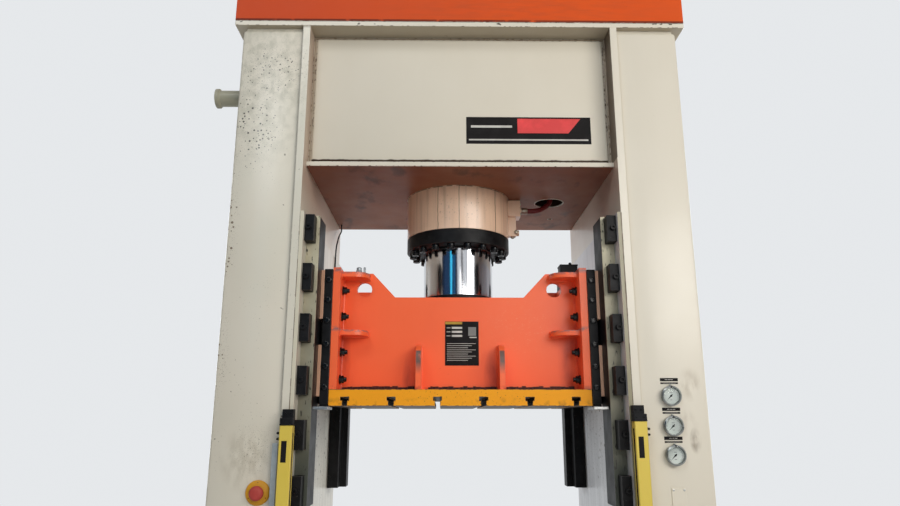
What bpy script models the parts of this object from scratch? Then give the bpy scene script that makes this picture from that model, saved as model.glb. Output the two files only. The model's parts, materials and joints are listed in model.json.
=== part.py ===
"""Frame-type hydraulic press: box columns, crown, bed, down-stroke cylinder and guided slide.

Metres, +Z up, the origin on the floor at the middle of the frame, the front towards -Y.
The slide is modelled at the top of its stroke.
"""

import math

import bmesh
import bpy
from mathutils import Matrix, Vector

for leftover in list(bpy.data.objects):
    bpy.data.objects.remove(leftover)

# Clearances: between neighbours, of running fits, and how far joined shapes sink into each other
GAP = 0.0003
RUNNING = 0.0006
SINK = 0.004
BEYOND = 1.0
ENDS = (-1, 1)

# Welded frame
SLIDE_HALF = 0.570
SLIDE_HALF_DEPTH = 0.390
SHOE_BAR = 0.037
LINER = 0.015
RAIL = 0.056
SHOE_SIDE = SLIDE_HALF + SHOE_BAR
RAIL_FACE = SHOE_SIDE + LINER
PACKING = 0.017
INNER_PLATE = 0.033
COLUMN_BOX = 0.282
PACKING_FACE = RAIL_FACE + RAIL
INNER_FACE = PACKING_FACE + PACKING
COLUMN_SPLIT = INNER_FACE + INNER_PLATE
HALF_WIDTH = COLUMN_SPLIT + COLUMN_BOX
HALF_DEPTH = SLIDE_HALF_DEPTH + 0.180
PANEL_RECESS = 0.018
PANEL_EDGE = 0.014
PANEL_DROP = 0.016
COLUMN_WALL = 0.025
BASE_THICKNESS = 0.040
BASE_MARGIN = 0.060
ANCHOR = 0.012
ANCHOR_OUT = 0.042
ANCHOR_NUT = 0.022
ANCHOR_NUT_HEIGHT = 0.020
PANEL_FACE = HALF_DEPTH - PANEL_RECESS

# Crown, top plate and fascia
CROWN_PLATE = 0.022
CROWN_PLATE_FRONT = HALF_DEPTH - 0.060
CROWN_PLATE_BACK = HALF_DEPTH - 0.030
CROWN_PANEL_FRONT = HALF_DEPTH - 0.090
CROWN_SIDE_GAP = 0.012
CROWN_TOP_DROP = 0.012
CROWN_SEAM = 0.003
CROWN_FLOOR = 0.060
CROWN_WALL = 0.030
CROWN_PLAY = 0.001
WEB_THICKNESS = 0.020
WEB_HOLE = 0.090
HOSE_HOLE = 0.075
DRAIN_HOLE = 0.012
TOP_PLATE = 0.025
TOP_OVERHANG = 0.035
FASCIA_HEIGHT = 0.300
FASCIA_SHEET = 0.004
FASCIA_LIP = 0.030

# Slide, over the bed and its bolster
STROKE = 0.400
BED_TOP = 0.660
BOLSTER = 0.080
DAYLIGHT = 0.900
SLIDE_BOTTOM = BED_TOP + BOLSTER + DAYLIGHT
SLIDE_PLATE = 0.070
SLIDE_BASE = SLIDE_BOTTOM + SLIDE_PLATE
SLIDE_TOP = SLIDE_BASE + 0.540
SIDE_PLATE = 0.033
ROD = 0.173
FRONT_PLATE_FACE = ROD + 0.082
FRONT_PLATE = 0.028
SADDLE = SLIDE_BASE + 0.427
SADDLE_HALF = SLIDE_HALF - 0.270
SADDLE_RISE = SLIDE_HALF - 0.165
ROD_SEAT = 0.045
ROD_SEAT_TOP = SLIDE_BASE + 0.395
SLIDE_WEB_AT = 0.210
LIFTING_HOLE = 0.035
LIFTING_X = SLIDE_HALF - 0.127
LIFTING_Z = SLIDE_BASE + 0.463
GUSSET = 0.023
GUSSET_TOPS = (SLIDE_BASE + 0.528, SLIDE_BASE + 0.263)
GUSSET_REACH = 0.124
GUSSET_FRONT = SLIDE_HALF_DEPTH - 0.035
GUSSET_CORNER = (GUSSET_FRONT - FRONT_PLATE_FACE) * 0.6
RIB_AT = 0.185
RIB = 0.024
RIB_REACH = SLIDE_HALF_DEPTH - FRONT_PLATE_FACE - 0.020
RIB_TOP = SLIDE_BASE + 0.200
RIB_CORNER = RIB_REACH * 0.6

# Cylinder, rod and piston, over the slide, and the crown over them
BORE = ROD + 0.027
BARREL = BORE + 0.060
BARREL_FLANGE = BARREL + 0.050
BARREL_FLANGE_DEPTH = 0.090
GLAND_TOP = SLIDE_TOP + 0.224
GLAND_DEPTH = 0.070
GLAND_SPIGOT = 0.060
GLAND_EDGE = 0.003
GLAND_BOLTS = 18
GLAND_BOLT_CIRCLE = BARREL - 0.032
GLAND_BOLT_HEAD = 0.018
GLAND_BOLT_DEPTH = 0.024
WIPER = 0.014
WIPER_LIP = 0.008
PISTON_DEPTH = 0.110
PISTON_EDGE = 0.004
PISTON_BOTTOM = GLAND_TOP + GLAND_SPIGOT + STROKE + 0.090
BARREL_HEAD = 0.080
BARREL_TOP = PISTON_BOTTOM + PISTON_DEPTH + 0.070 + BARREL_HEAD
FEED_PIPE = 0.045
FEED_BORE = 0.030
FEED_PLAY = 0.002
COLLAR_WALL = 0.008
COLLAR_FLANGE = 0.030
COLLAR_BASE = 0.022
COLLAR_HEIGHT = 0.062
CROWN_BOTTOM = SLIDE_TOP + 0.440
FRAME_HEIGHT = BARREL_TOP + 0.076
PLATFORM = FRAME_HEIGHT + TOP_PLATE
WEB_OFFSET = BARREL + 0.120
HOSE_HOLE_AT = (BARREL + 0.220, 0.020)
DRAIN_HOLE_AT = (BARREL + 0.270, 0.310)

# T-slots of slide plate and bolster
SLOT_PITCH = 0.200
SLOT_NECK = 0.022
SLOT_HEAD = 0.037
SLOT_HEAD_HEIGHT = 0.016
SLOT_DEPTH = 0.038

# Guides, worked out from the slide
SHOE_BOTTOM = SLIDE_BOTTOM + 0.010
SHOE_TOP = SLIDE_TOP - 0.010
SHOE_FRONT = SLIDE_HALF_DEPTH + 0.010
SHOE_BACK = SHOE_FRONT - 0.130
SHOE_LEG = RAIL_FACE + 0.028
LINER_RISES = ((0.030, 0.250), (0.365, 0.585))
PACKING_TOP = SLIDE_TOP + 0.210
RAIL_SPARE = 0.012
RAIL_BOTTOM = SHOE_BOTTOM - STROKE - RAIL_SPARE
RAIL_TOP = {-1: PACKING_TOP, 1: SLIDE_TOP + 0.110}
RAIL_BACK = SHOE_FRONT - 0.055
RAIL_FRONT = RAIL_BACK + 0.141
REAR_FOOT_BACK = SHOE_FRONT + 0.010
REAR_FOOT_FACE = SLIDE_HALF + 0.017
STRIP = 0.006
BLOCKS = 6
BLOCK_END = 0.067
BLOCK_HEIGHT = 0.118
BLOCK_DEPTH = 0.060
BLOCK_INSET = 0.015

# Bed and bolster
BED_FRONT = HALF_DEPTH - 0.050
BED_WALL = 0.030
BED_HOLE = 0.140
BED_BORDER = 0.080
BED_RECESS = 0.012
BOLSTER_HALF = SLIDE_HALF + 0.030
BOLSTER_HALF_DEPTH = SLIDE_HALF_DEPTH + 0.090

# Light curtains
CURTAIN_AT = {-1: COLUMN_SPLIT - 0.036, 1: COLUMN_SPLIT - 0.022}
CURTAIN_WIDTH = 0.051
CURTAIN_DEPTH = 0.045
CURTAIN_BACK = HALF_DEPTH + 0.012
CURTAIN_BOTTOM = BED_TOP + 0.130
CURTAIN_TOP = SLIDE_BOTTOM - 0.063
CURTAIN_DROP = {-1: 0.016, 1: 0.0}
CURTAIN_CAP = 0.028
CURTAIN_BRACKET = 0.034
CURTAIN_WINDOW = 0.022
CURTAIN_EDGE = 0.003

# Emergency stop, gauges and cover plate
ESTOP_AT = (-COLUMN_SPLIT - 0.076, SLIDE_BOTTOM - 0.337)
ESTOP_COLLAR = 0.048
ESTOP_RAISE = 0.016
ESTOP_STEM = 0.012
ESTOP_HEAD = 0.028
ESTOP_TRAVEL = 0.006
ESTOP_DOME = 0.020
GAUGE_X = COLUMN_SPLIT + 0.126
GAUGE_HEIGHTS = (SLIDE_BOTTOM + 0.037, SLIDE_BOTTOM - 0.082, SLIDE_BOTTOM - 0.196)
GAUGE = 0.0405
GAUGE_DEPTH = 0.028
GAUGE_DIAL = 0.012
GAUGE_SIGHT = 0.033
NEEDLE_LENGTH = 0.023
NEEDLE_TAIL = 0.008
NEEDLE_HUB = 0.0032
NEEDLE_LIFT = 0.0005
NEEDLE_THICKNESS = 0.001
NEEDLE_REST = 225
COVER_AT = (COLUMN_SPLIT + 0.132, SLIDE_BOTTOM - 0.381)
COVER_SIZE = (0.058, 0.120)
COVER = 0.003

# Stub on the left column, port block, hose and small fittings
STUB_AT = (0.150 - HALF_DEPTH, CROWN_BOTTOM + 0.370)
STUB = 0.038
STUB_BORE = 0.031
STUB_FLANGE = 0.046
STUB_FLANGE_DEPTH = 0.016
STUB_REACH = 0.140
PORT_OUT = 0.062
PORT_HALF = 0.040
PORT_Z = (CROWN_BOTTOM - 0.090, CROWN_BOTTOM - 0.004)
PLUG_OUT = 0.040
PLUG_HALF = 0.020
PLUG_BOTTOM = CROWN_BOTTOM - 0.190
HOSE = 0.013
HOSE_Z = CROWN_BOTTOM - 0.050
LUBE_PIPE = 0.004
LUBE_Y = RAIL_BACK - 0.055
LUBE_OFFSET = 0.150
JUNCTION_X = (SLIDE_HALF - 0.092, SLIDE_HALF - 0.010)
JUNCTION_DEPTH = 0.070
JUNCTION_HEIGHT = 0.044

# Hydraulic unit on the top plate
MANIFOLD = 0.120
TANK_X = (0.110 - HALF_WIDTH, -MANIFOLD - 0.110)
TANK_Y = (0.170 - HALF_DEPTH, HALF_DEPTH - 0.150)
TANK_HEIGHT = 0.480
TANK_FOOT = 0.050
TANK_LID = 0.012
BREATHER = 0.040
MANIFOLD_HEIGHT = 0.180
VALVE = 0.045
PUMP_X = MANIFOLD + 0.080
MOTOR_X = (PUMP_X + 0.220, PUMP_X + 0.600)
MOTOR_Y = 0.080
MOTOR_RISE = 0.230
MOTOR = 0.135
MOTOR_FINS = 20
FIN = 0.014
TERMINALS = 0.052
BELL = 0.110
PUMP = 0.075
PIPE = 0.021
SUCTION = 0.030
SUCTION_Y = 0.300

press = bpy.data.collections.new("hydraulic_press")
tools = bpy.data.collections.new("cutters")
bpy.context.scene.collection.children.link(press)
bpy.context.scene.collection.children.link(tools)


def paint(name, colour, roughness, metallic=0.0):
    """A plain Principled material."""
    material = bpy.data.materials.new(name)
    material.use_nodes = True
    shader = material.node_tree.nodes["Principled BSDF"]
    shader.inputs["Base Color"].default_value = (*colour, 1.0)
    shader.inputs["Roughness"].default_value = roughness
    shader.inputs["Metallic"].default_value = metallic
    material.diffuse_color = (*colour, 1.0)
    return material


CREAM = paint("cream_paint", (0.66, 0.62, 0.52), 0.45)
ORANGE = paint("orange_paint", (0.80, 0.14, 0.05), 0.40)
FASCIA = paint("fascia_orange", (0.62, 0.10, 0.02), 0.45)
YELLOW = paint("yellow_paint", (0.75, 0.35, 0.02), 0.45)
CURTAIN = paint("curtain_yellow", (0.58, 0.43, 0.06), 0.40)
BLACK = paint("black_oxide", (0.02, 0.02, 0.022), 0.50, 0.6)
KHAKI = paint("packing_steel", (0.42, 0.40, 0.28), 0.55, 0.3)
BRONZE = paint("bronze", (0.58, 0.30, 0.16), 0.40, 0.8)
CHROME = paint("chrome", (0.62, 0.63, 0.65), 0.10, 1.0)
STEEL = paint("steel", (0.45, 0.45, 0.46), 0.40, 0.9)
GREY = paint("grey_alloy", (0.40, 0.43, 0.45), 0.45, 0.6)
RED = paint("red_plastic", (0.40, 0.03, 0.02), 0.45)
AMBER = paint("amber_plastic", (0.60, 0.25, 0.01), 0.45)
RUBBER = paint("hose_rubber", (0.06, 0.01, 0.01), 0.60)
BLUE = paint("motor_blue", (0.03, 0.09, 0.25), 0.45)


def link(obj, material):
    """Puts a part in its collection with its material, and a cutter, which has none, in the other one."""
    if material is None:
        tools.objects.link(obj)
        obj.hide_render = True
        obj.display_type = "WIRE"
    else:
        press.objects.link(obj)
        obj.data.materials.append(material)
    return obj


def make(name, mesh, material):
    """An object from a bmesh."""
    data = bpy.data.meshes.new(name)
    mesh.to_mesh(data)
    mesh.free()
    data.shade_smooth()
    data.set_sharp_from_angle(angle=math.radians(35))
    return link(bpy.data.objects.new(name, data), material)


def box(mesh, x, y, z):
    """A box between pairs of limits, in any order."""
    size = Matrix.Diagonal((abs(x[1] - x[0]), abs(y[1] - y[0]), abs(z[1] - z[0]), 1))
    middle = Matrix.Translation((sum(x) / 2, sum(y) / 2, sum(z) / 2))
    bmesh.ops.create_cube(mesh, size=1, matrix=middle @ size)


def rod(mesh, start, end, radius, sides=16, end_radius=None):
    """A round, hexagonal or tapered bar from start to end."""
    start, end = Vector(start), Vector(end)
    along = end - start
    turn = along.to_track_quat("Z", "Y").to_matrix().to_4x4()
    bmesh.ops.create_cone(
        mesh,
        cap_ends=True,
        segments=sides,
        radius1=radius,
        radius2=radius if end_radius is None else end_radius,
        depth=along.length,
        matrix=Matrix.Translation((start + end) / 2) @ turn,
    )


def combine(target, tool, operation="DIFFERENCE"):
    """Cuts a tool from the target, or joins it on."""
    modifier = target.modifiers.new(tool.name, "BOOLEAN")
    modifier.operation = operation
    modifier.solver = "EXACT"
    modifier.object = tool
    return target


def weld(target, name, fill):
    """Joins shapes on: fill draws them, clear of each other, into a bmesh."""
    mesh = bmesh.new()
    fill(mesh)
    return combine(target, make(name, mesh, None), "UNION")


def carve(target, name, fill):
    """Cuts shapes away: fill draws them, clear of each other, into a bmesh."""
    mesh = bmesh.new()
    fill(mesh)
    return combine(target, make(name, mesh, None))


def block(name, x, y, z, material):
    """A plain box of its own."""
    mesh = bmesh.new()
    box(mesh, x, y, z)
    return make(name, mesh, material)


def soften(obj, width, segments=2):
    """Rounds an object's sharp edges."""
    bevel = obj.modifiers.new("soften", "BEVEL")
    bevel.width = width
    bevel.segments = segments
    bevel.limit_method = "ANGLE"
    return obj


def circle(centre, radius, points=16):
    """Points round a circle."""
    steps = [2 * math.pi * i / points for i in range(points)]
    return [(centre[0] + radius * math.cos(a), centre[1] + radius * math.sin(a)) for a in steps]


def arc(centre, radius, start, end, points=5):
    """Points along an arc, in degrees."""
    steps = [math.radians(start + (end - start) * i / (points - 1)) for i in range(points)]
    return [(centre[0] + radius * math.cos(a), centre[1] + radius * math.sin(a)) for a in steps]


PLATE_TURNS = {
    "Z": Matrix.Identity(4),
    "Y": Matrix(((1, 0, 0, 0), (0, 0, -1, 0), (0, 1, 0, 0), (0, 0, 0, 1))),
    "X": Matrix(((0, 0, 1, 0), (1, 0, 0, 0), (0, 1, 0, 0), (0, 0, 0, 1))),
}


def plate(name, outline, across, axis, material, holes=()):
    """A flat plate: an outline with round holes, between two limits along an axis.

    The outline's points are (x, y) for axis Z, (x, z) for axis Y and (y, z) for axis X.
    """
    curve = bpy.data.curves.new(name, "CURVE")
    curve.dimensions = "2D"
    curve.fill_mode = "BOTH"
    curve.extrude = abs(across[1] - across[0]) / 2
    rings = [list(outline)] + [circle(centre, radius) for centre, radius in holes]
    for ring in rings:
        spline = curve.splines.new("POLY")
        spline.points.add(len(ring) - 1)
        for point, (u, v) in zip(spline.points, ring):
            point.co = (u, v, 0, 1)
        spline.use_cyclic_u = True
    flat = bpy.data.objects.new(name + "_outline", curve)
    bpy.context.scene.collection.objects.link(flat)
    bpy.context.view_layer.update()
    filled = bpy.data.meshes.new_from_object(flat.evaluated_get(bpy.context.evaluated_depsgraph_get()))
    bpy.data.objects.remove(flat)
    mesh = bmesh.new()
    mesh.from_mesh(filled)
    middle = sum(across) / 2
    shift = {"Z": (0, 0, middle), "Y": (0, middle, 0), "X": (middle, 0, 0)}[axis]
    mesh.transform(Matrix.Translation(shift) @ PLATE_TURNS[axis])
    bmesh.ops.remove_doubles(mesh, verts=mesh.verts, dist=1e-5)
    bmesh.ops.recalc_face_normals(mesh, faces=mesh.faces)
    return make(name, mesh, material)


TURNED_AXES = {
    "Z": Matrix.Identity(4),
    "-Y": Matrix.Rotation(math.radians(90), 4, "X"),
    "X": Matrix.Rotation(math.radians(90), 4, "Y"),
}


def turned(name, profile, material, steps=48, axis="Z", at=(0, 0, 0), ring=False):
    """A turned piece: (radius, height) points, down the outer side and, on a ring, back up inside."""
    data = bpy.data.meshes.new(name)
    links = [(i, i + 1) for i in range(len(profile) - 1)]
    if ring:
        links.append((len(profile) - 1, 0))
    data.from_pydata([(radius, 0, height) for radius, height in profile], links, [])
    obj = bpy.data.objects.new(name, data)
    screw = obj.modifiers.new("turn", "SCREW")
    screw.steps = steps
    screw.render_steps = steps
    screw.use_merge_vertices = True
    screw.merge_threshold = 0.00005
    screw.use_smooth_shade = True
    obj.matrix_world = Matrix.Translation(at) @ TURNED_AXES[axis]
    return link(obj, material)


def smooth_path(points, between=3):
    """Points along a Catmull-Rom curve through the given ones, straight at both ends."""
    route = [Vector(p) for p in points]
    start = [route[0].lerp(route[1], part) for part in (0.15, 0.30)]
    stop = [route[-1].lerp(route[-2], part) for part in (0.30, 0.15)]
    route = route[:1] + start + route[1:-1] + stop + route[-1:]
    route = [2 * route[0] - route[1]] + route + [2 * route[-1] - route[-2]]
    path = []
    for a, b, c, d in zip(route, route[1:], route[2:], route[3:]):
        for i in range(between):
            t = i / between
            bend = (2 * a - 5 * b + 4 * c - d) * t**2 + (3 * b - a - 3 * c + d) * t**3
            path.append((2 * b + (c - a) * t + bend) / 2)
    return path + [route[-2]]


def tube(name, points, radius, material, resolution=2):
    """A pipe, hose or line along a smooth curve through points."""
    curve = bpy.data.curves.new(name, "CURVE")
    curve.dimensions = "3D"
    curve.bevel_depth = radius
    curve.bevel_resolution = resolution
    curve.use_fill_caps = True
    path = smooth_path(points)
    spline = curve.splines.new("POLY")
    spline.points.add(len(path) - 1)
    for point, place in zip(spline.points, path):
        point.co = (*place, 1)
    return link(bpy.data.objects.new(name, curve), material)


def column(name, side):
    """A box column: proud inner plate, recessed panels front and rear, packing plate, hollow inside."""
    panel_x = (side * (COLUMN_SPLIT - SINK), side * HALF_WIDTH)
    floor = BASE_THICKNESS + GAP
    panel_z = (floor, FRAME_HEIGHT - PANEL_DROP)
    body = block(name, panel_x, (-PANEL_FACE, PANEL_FACE), panel_z, CREAM)
    soften(body, PANEL_EDGE)
    full = (-HALF_DEPTH, HALF_DEPTH)
    inner_x = (side * INNER_FACE, side * COLUMN_SPLIT)
    weld(body, name + "_inner_plate", lambda m: box(m, inner_x, full, (floor, FRAME_HEIGHT - GAP)))
    packing_x = (side * PACKING_FACE, side * (INNER_FACE + SINK))
    weld(body, name + "_packing", lambda m: box(m, packing_x, full, (floor, PACKING_TOP)))
    neck_x = (side * (COLUMN_SPLIT - SINK), side * (HALF_WIDTH - PANEL_EDGE))
    neck = PANEL_FACE - PANEL_EDGE
    neck_z = (FRAME_HEIGHT / 2, FRAME_HEIGHT - GAP)
    weld(body, name + "_neck", lambda m: box(m, neck_x, (-neck, neck), neck_z))
    hollow_x = (side * COLUMN_SPLIT, side * (HALF_WIDTH - COLUMN_WALL))
    depth = PANEL_FACE - COLUMN_WALL
    through = (-BEYOND, FRAME_HEIGHT + BEYOND)
    return carve(body, name + "_hollow", lambda m: box(m, hollow_x, (-depth, depth), through))


def base_plate(name, side):
    """The plate under a column, with its four anchor bolts."""
    x = (side * (PACKING_FACE + GAP), side * (HALF_WIDTH + BASE_MARGIN))
    y = HALF_DEPTH + BASE_MARGIN
    body = block(name, x, (-y, y), (0, BASE_THICKNESS), CREAM)
    feet = [
        Vector((side * along, end * (HALF_DEPTH + BASE_MARGIN / 2), BASE_THICKNESS - SINK))
        for along in (COLUMN_SPLIT + BASE_MARGIN, HALF_WIDTH - BASE_MARGIN)
        for end in ENDS
    ]
    nut = Vector((0, 0, SINK + ANCHOR_NUT_HEIGHT))
    stud = Vector((0, 0, SINK + ANCHOR_OUT))
    weld(body, name + "_nuts", lambda m: [rod(m, foot, foot + nut, ANCHOR_NUT, 6) for foot in feet])
    weld(body, name + "_studs", lambda m: [rod(m, foot, foot + stud, ANCHOR, 8) for foot in feet])
    return body


def crown():
    """The top box between the columns: recessed front panel, thick bottom plate, webs and holes."""
    side = INNER_FACE - CROWN_SIDE_GAP
    front = CROWN_PANEL_FRONT
    bottom = (CROWN_BOTTOM, CROWN_BOTTOM + CROWN_PLATE)
    upright = (bottom[1] + CROWN_SEAM, FRAME_HEIGHT - CROWN_TOP_DROP)
    body = block("crown", (-side, side), (-front, front), upright, CREAM)
    soften(body, PANEL_EDGE)
    full_x = (GAP - INNER_FACE, INNER_FACE - GAP)
    weld(body, "crown_bottom_plate", lambda m: box(m, full_x, (-CROWN_PLATE_FRONT, CROWN_PLATE_BACK), bottom))
    core = front - PANEL_EDGE
    tie = (bottom[0] + CROWN_PLATE / 2, FRAME_HEIGHT - GAP)
    weld(body, "crown_core", lambda m: box(m, full_x, (-core, core), tie))
    room_z = (bottom[1] + CROWN_FLOOR, FRAME_HEIGHT - CROWN_WALL)
    room_y = (CROWN_WALL - front, front - CROWN_WALL)
    outer = INNER_FACE - 2 * CROWN_WALL
    rooms = (
        (-outer, -WEB_OFFSET - WEB_THICKNESS),
        (-WEB_OFFSET, WEB_OFFSET),
        (WEB_OFFSET + WEB_THICKNESS, outer),
    )
    carve(body, "crown_rooms", lambda m: [box(m, room, room_y, room_z) for room in rooms])
    middle = sum(room_z) / 2
    near, far = WEB_OFFSET - WEB_THICKNESS, WEB_OFFSET + 2 * WEB_THICKNESS

    def web_holes(mesh):
        for end in ENDS:
            rod(mesh, (end * near, 0, middle), (end * far, 0, middle), WEB_HOLE, 24)

    def floor_holes(mesh):
        low, high = bottom[0] - BEYOND, room_z[0] + SINK
        rod(mesh, (0, 0, low), (0, 0, high), BARREL + CROWN_PLAY, 48)
        rod(mesh, (*HOSE_HOLE_AT, low), (*HOSE_HOLE_AT, high), HOSE_HOLE, 32)
        rod(mesh, (*DRAIN_HOLE_AT, low), (*DRAIN_HOLE_AT, high), DRAIN_HOLE, 12)

    carve(body, "crown_web_holes", web_holes)
    carve(body, "crown_floor_holes", floor_holes)
    return carve(body, "crown_feed_hole", feed_hole)


def feed_hole(mesh):
    """The cutter for the cylinder's feed pipe, through the crown's roof and the top plate."""
    low = (0, 0, FRAME_HEIGHT - CROWN_WALL - SINK)
    rod(mesh, low, (0, 0, FRAME_HEIGHT + BEYOND), FEED_PIPE + FEED_PLAY, 24)


def top_plate():
    """The plate over crown and columns."""
    half = HALF_WIDTH + TOP_OVERHANG
    body = block("top_plate", (-half, half), (-HALF_DEPTH, HALF_DEPTH), (FRAME_HEIGHT, PLATFORM - GAP), CREAM)
    return carve(body, "top_feed_hole", feed_hole)


def fascia():
    """The sheet-metal band round the platform, its upper edge folded inwards."""
    half_x = HALF_WIDTH + TOP_OVERHANG
    top = PLATFORM + FASCIA_HEIGHT
    body = block("fascia", (-half_x, half_x), (-HALF_DEPTH, HALF_DEPTH), (PLATFORM, top), FASCIA)

    def well(mesh):
        inner_x, inner_y = half_x - FASCIA_SHEET, HALF_DEPTH - FASCIA_SHEET
        box(mesh, (-inner_x, inner_x), (-inner_y, inner_y), (PLATFORM - BEYOND, top - FASCIA_SHEET))

    def mouth(mesh):
        inner_x, inner_y = half_x - FASCIA_LIP, HALF_DEPTH - FASCIA_LIP
        box(mesh, (-inner_x, inner_x), (-inner_y, inner_y), (top - 2 * FASCIA_SHEET, top + BEYOND))

    carve(body, "fascia_well", well)
    return carve(body, "fascia_mouth", mouth)


def barrel():
    """The cylinder: bore, closed head with its feed spout, and the flange that sits on the crown's floor."""
    bore_top = BARREL_TOP - BARREL_HEAD
    seat = CROWN_BOTTOM + CROWN_PLATE + CROWN_FLOOR + GAP
    spout_top = PLATFORM - 0.01
    profile = [
        (FEED_BORE, spout_top),
        (FEED_PIPE, spout_top),
        (FEED_PIPE, BARREL_TOP),
        (BARREL, BARREL_TOP),
        (BARREL, seat + BARREL_FLANGE_DEPTH),
        (BARREL_FLANGE, seat + BARREL_FLANGE_DEPTH),
        (BARREL_FLANGE, seat),
        (BARREL, seat),
        (BARREL, GLAND_TOP),
        (BORE, GLAND_TOP),
        (BORE, bore_top),
        (FEED_BORE, bore_top),
    ]
    return turned("cylinder_barrel", profile, CREAM, ring=True)


def gland():
    """The gland ring with its spigot in the bore, a wiper lip and a ring of cap screws."""
    inner = ROD + RUNNING
    top, low = GLAND_TOP - GAP, GLAND_TOP - GLAND_DEPTH
    spigot = BORE - RUNNING
    profile = [
        (BARREL - GLAND_EDGE, top),
        (BARREL, top - GLAND_EDGE),
        (BARREL, low + GLAND_EDGE),
        (BARREL - GLAND_EDGE, low),
        (ROD + WIPER, low),
        (ROD + WIPER, low - WIPER_LIP),
        (inner, low - WIPER_LIP),
        (inner, GLAND_TOP + GLAND_SPIGOT),
        (spigot, GLAND_TOP + GLAND_SPIGOT),
        (spigot, top),
    ]
    ring = turned("gland_ring", profile, BLACK, ring=True)
    places = circle((0, 0), GLAND_BOLT_CIRCLE, GLAND_BOLTS)
    foot = low - GLAND_BOLT_DEPTH

    def heads(mesh):
        for x, y in places:
            rod(mesh, (x, y, low + SINK), (x, y, foot), GLAND_BOLT_HEAD, 10)

    return weld(ring, "gland_screw_heads", heads)


def piston_rod():
    """The chromed rod with its piston, standing on the slide's rod seat."""
    head = BORE - RUNNING
    top = PISTON_BOTTOM + PISTON_DEPTH
    foot = ROD_SEAT_TOP + GAP
    profile = [(0, top), (head - PISTON_EDGE, top), (head, top - PISTON_EDGE), (head, PISTON_BOTTOM)]
    profile += [(ROD, PISTON_BOTTOM), (ROD, foot), (0, foot)]
    return turned("piston_rod", profile, CHROME)


def rod_collar():
    """The collar that holds the rod's foot down on the slide."""
    inner = ROD + GAP
    low = ROD_SEAT_TOP + GAP
    high = low + COLLAR_HEIGHT
    profile = [
        (inner + COLLAR_WALL, high),
        (inner + COLLAR_WALL, low + COLLAR_BASE),
        (inner + COLLAR_FLANGE, low + COLLAR_BASE),
        (inner + COLLAR_FLANGE, low),
        (inner, low),
        (inner, high),
    ]
    return turned("rod_collar", profile, BLACK, ring=True)


def t_slots(half):
    """The slotted face of a T-slotted section, left to right: (x, depth behind the face) points."""
    points = [(-half, 0)]
    neck, head = SLOT_NECK / 2, SLOT_HEAD / 2
    step = SLOT_DEPTH - SLOT_HEAD_HEIGHT
    count = 2 * int((half - SLOT_HEAD) / SLOT_PITCH + 0.5)
    for i in range(count):
        x = (i - (count - 1) / 2) * SLOT_PITCH
        points += [(x - neck, 0), (x - neck, step), (x - head, step), (x - head, SLOT_DEPTH)]
        points += [(x + head, SLOT_DEPTH), (x + head, step), (x + neck, step), (x + neck, 0)]
    return points + [(half, 0)]


def slide_plate():
    """The T-slotted plate under the slide."""
    outline = [(x, SLIDE_BOTTOM + depth) for x, depth in t_slots(SLIDE_HALF)]
    outline += [(SLIDE_HALF, SLIDE_BASE - GAP), (-SLIDE_HALF, SLIDE_BASE - GAP)]
    return plate("slide_plate", outline, (-SLIDE_HALF_DEPTH, SLIDE_HALF_DEPTH), "Y", YELLOW)


def bolster():
    """The T-slotted bolster on the bed."""
    outline = [(x, BED_TOP + BOLSTER - depth) for x, depth in t_slots(BOLSTER_HALF)]
    outline += [(BOLSTER_HALF, BED_TOP + GAP), (-BOLSTER_HALF, BED_TOP + GAP)]
    return plate("bolster", outline, (-BOLSTER_HALF_DEPTH, BOLSTER_HALF_DEPTH), "Y", STEEL)


def saddle_outline(half):
    """The slide's front plate: low in the middle, stepped up to the lifting ears."""
    ear = SLIDE_TOP - GAP
    return [
        (-half, SLIDE_BASE),
        (half, SLIDE_BASE),
        (half, ear),
        (SADDLE_RISE, ear),
        (SADDLE_HALF, SADDLE),
        (-SADDLE_HALF, SADDLE),
        (-SADDLE_RISE, ear),
        (-half, ear),
    ]


def gusset_outline(side, end):
    """A gusset's plan: square at the side plate, with one big rounded corner."""
    wall = SLIDE_HALF - SIDE_PLATE + SINK
    tip = wall - GUSSET_REACH
    back = FRONT_PLATE_FACE - SINK
    centre = (tip + GUSSET_CORNER, GUSSET_FRONT - GUSSET_CORNER)
    points = [(wall, back), (wall, GUSSET_FRONT)] + arc(centre, GUSSET_CORNER, 90, 180) + [(tip, back)]
    return [(side * x, end * y) for x, y in points]


def rib_outline(end):
    """A rib's side view: an upright front edge, and a rounded top that runs back into the front plate."""
    back = FRONT_PLATE_FACE - SINK
    front = FRONT_PLATE_FACE + RIB_REACH
    centre = (front - RIB_CORNER, RIB_TOP - RIB_CORNER)
    points = [(back, SLIDE_BASE), (front, SLIDE_BASE)] + arc(centre, RIB_CORNER, 0, 90) + [(back, RIB_TOP)]
    return [(end * y, z) for y, z in points]


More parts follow.
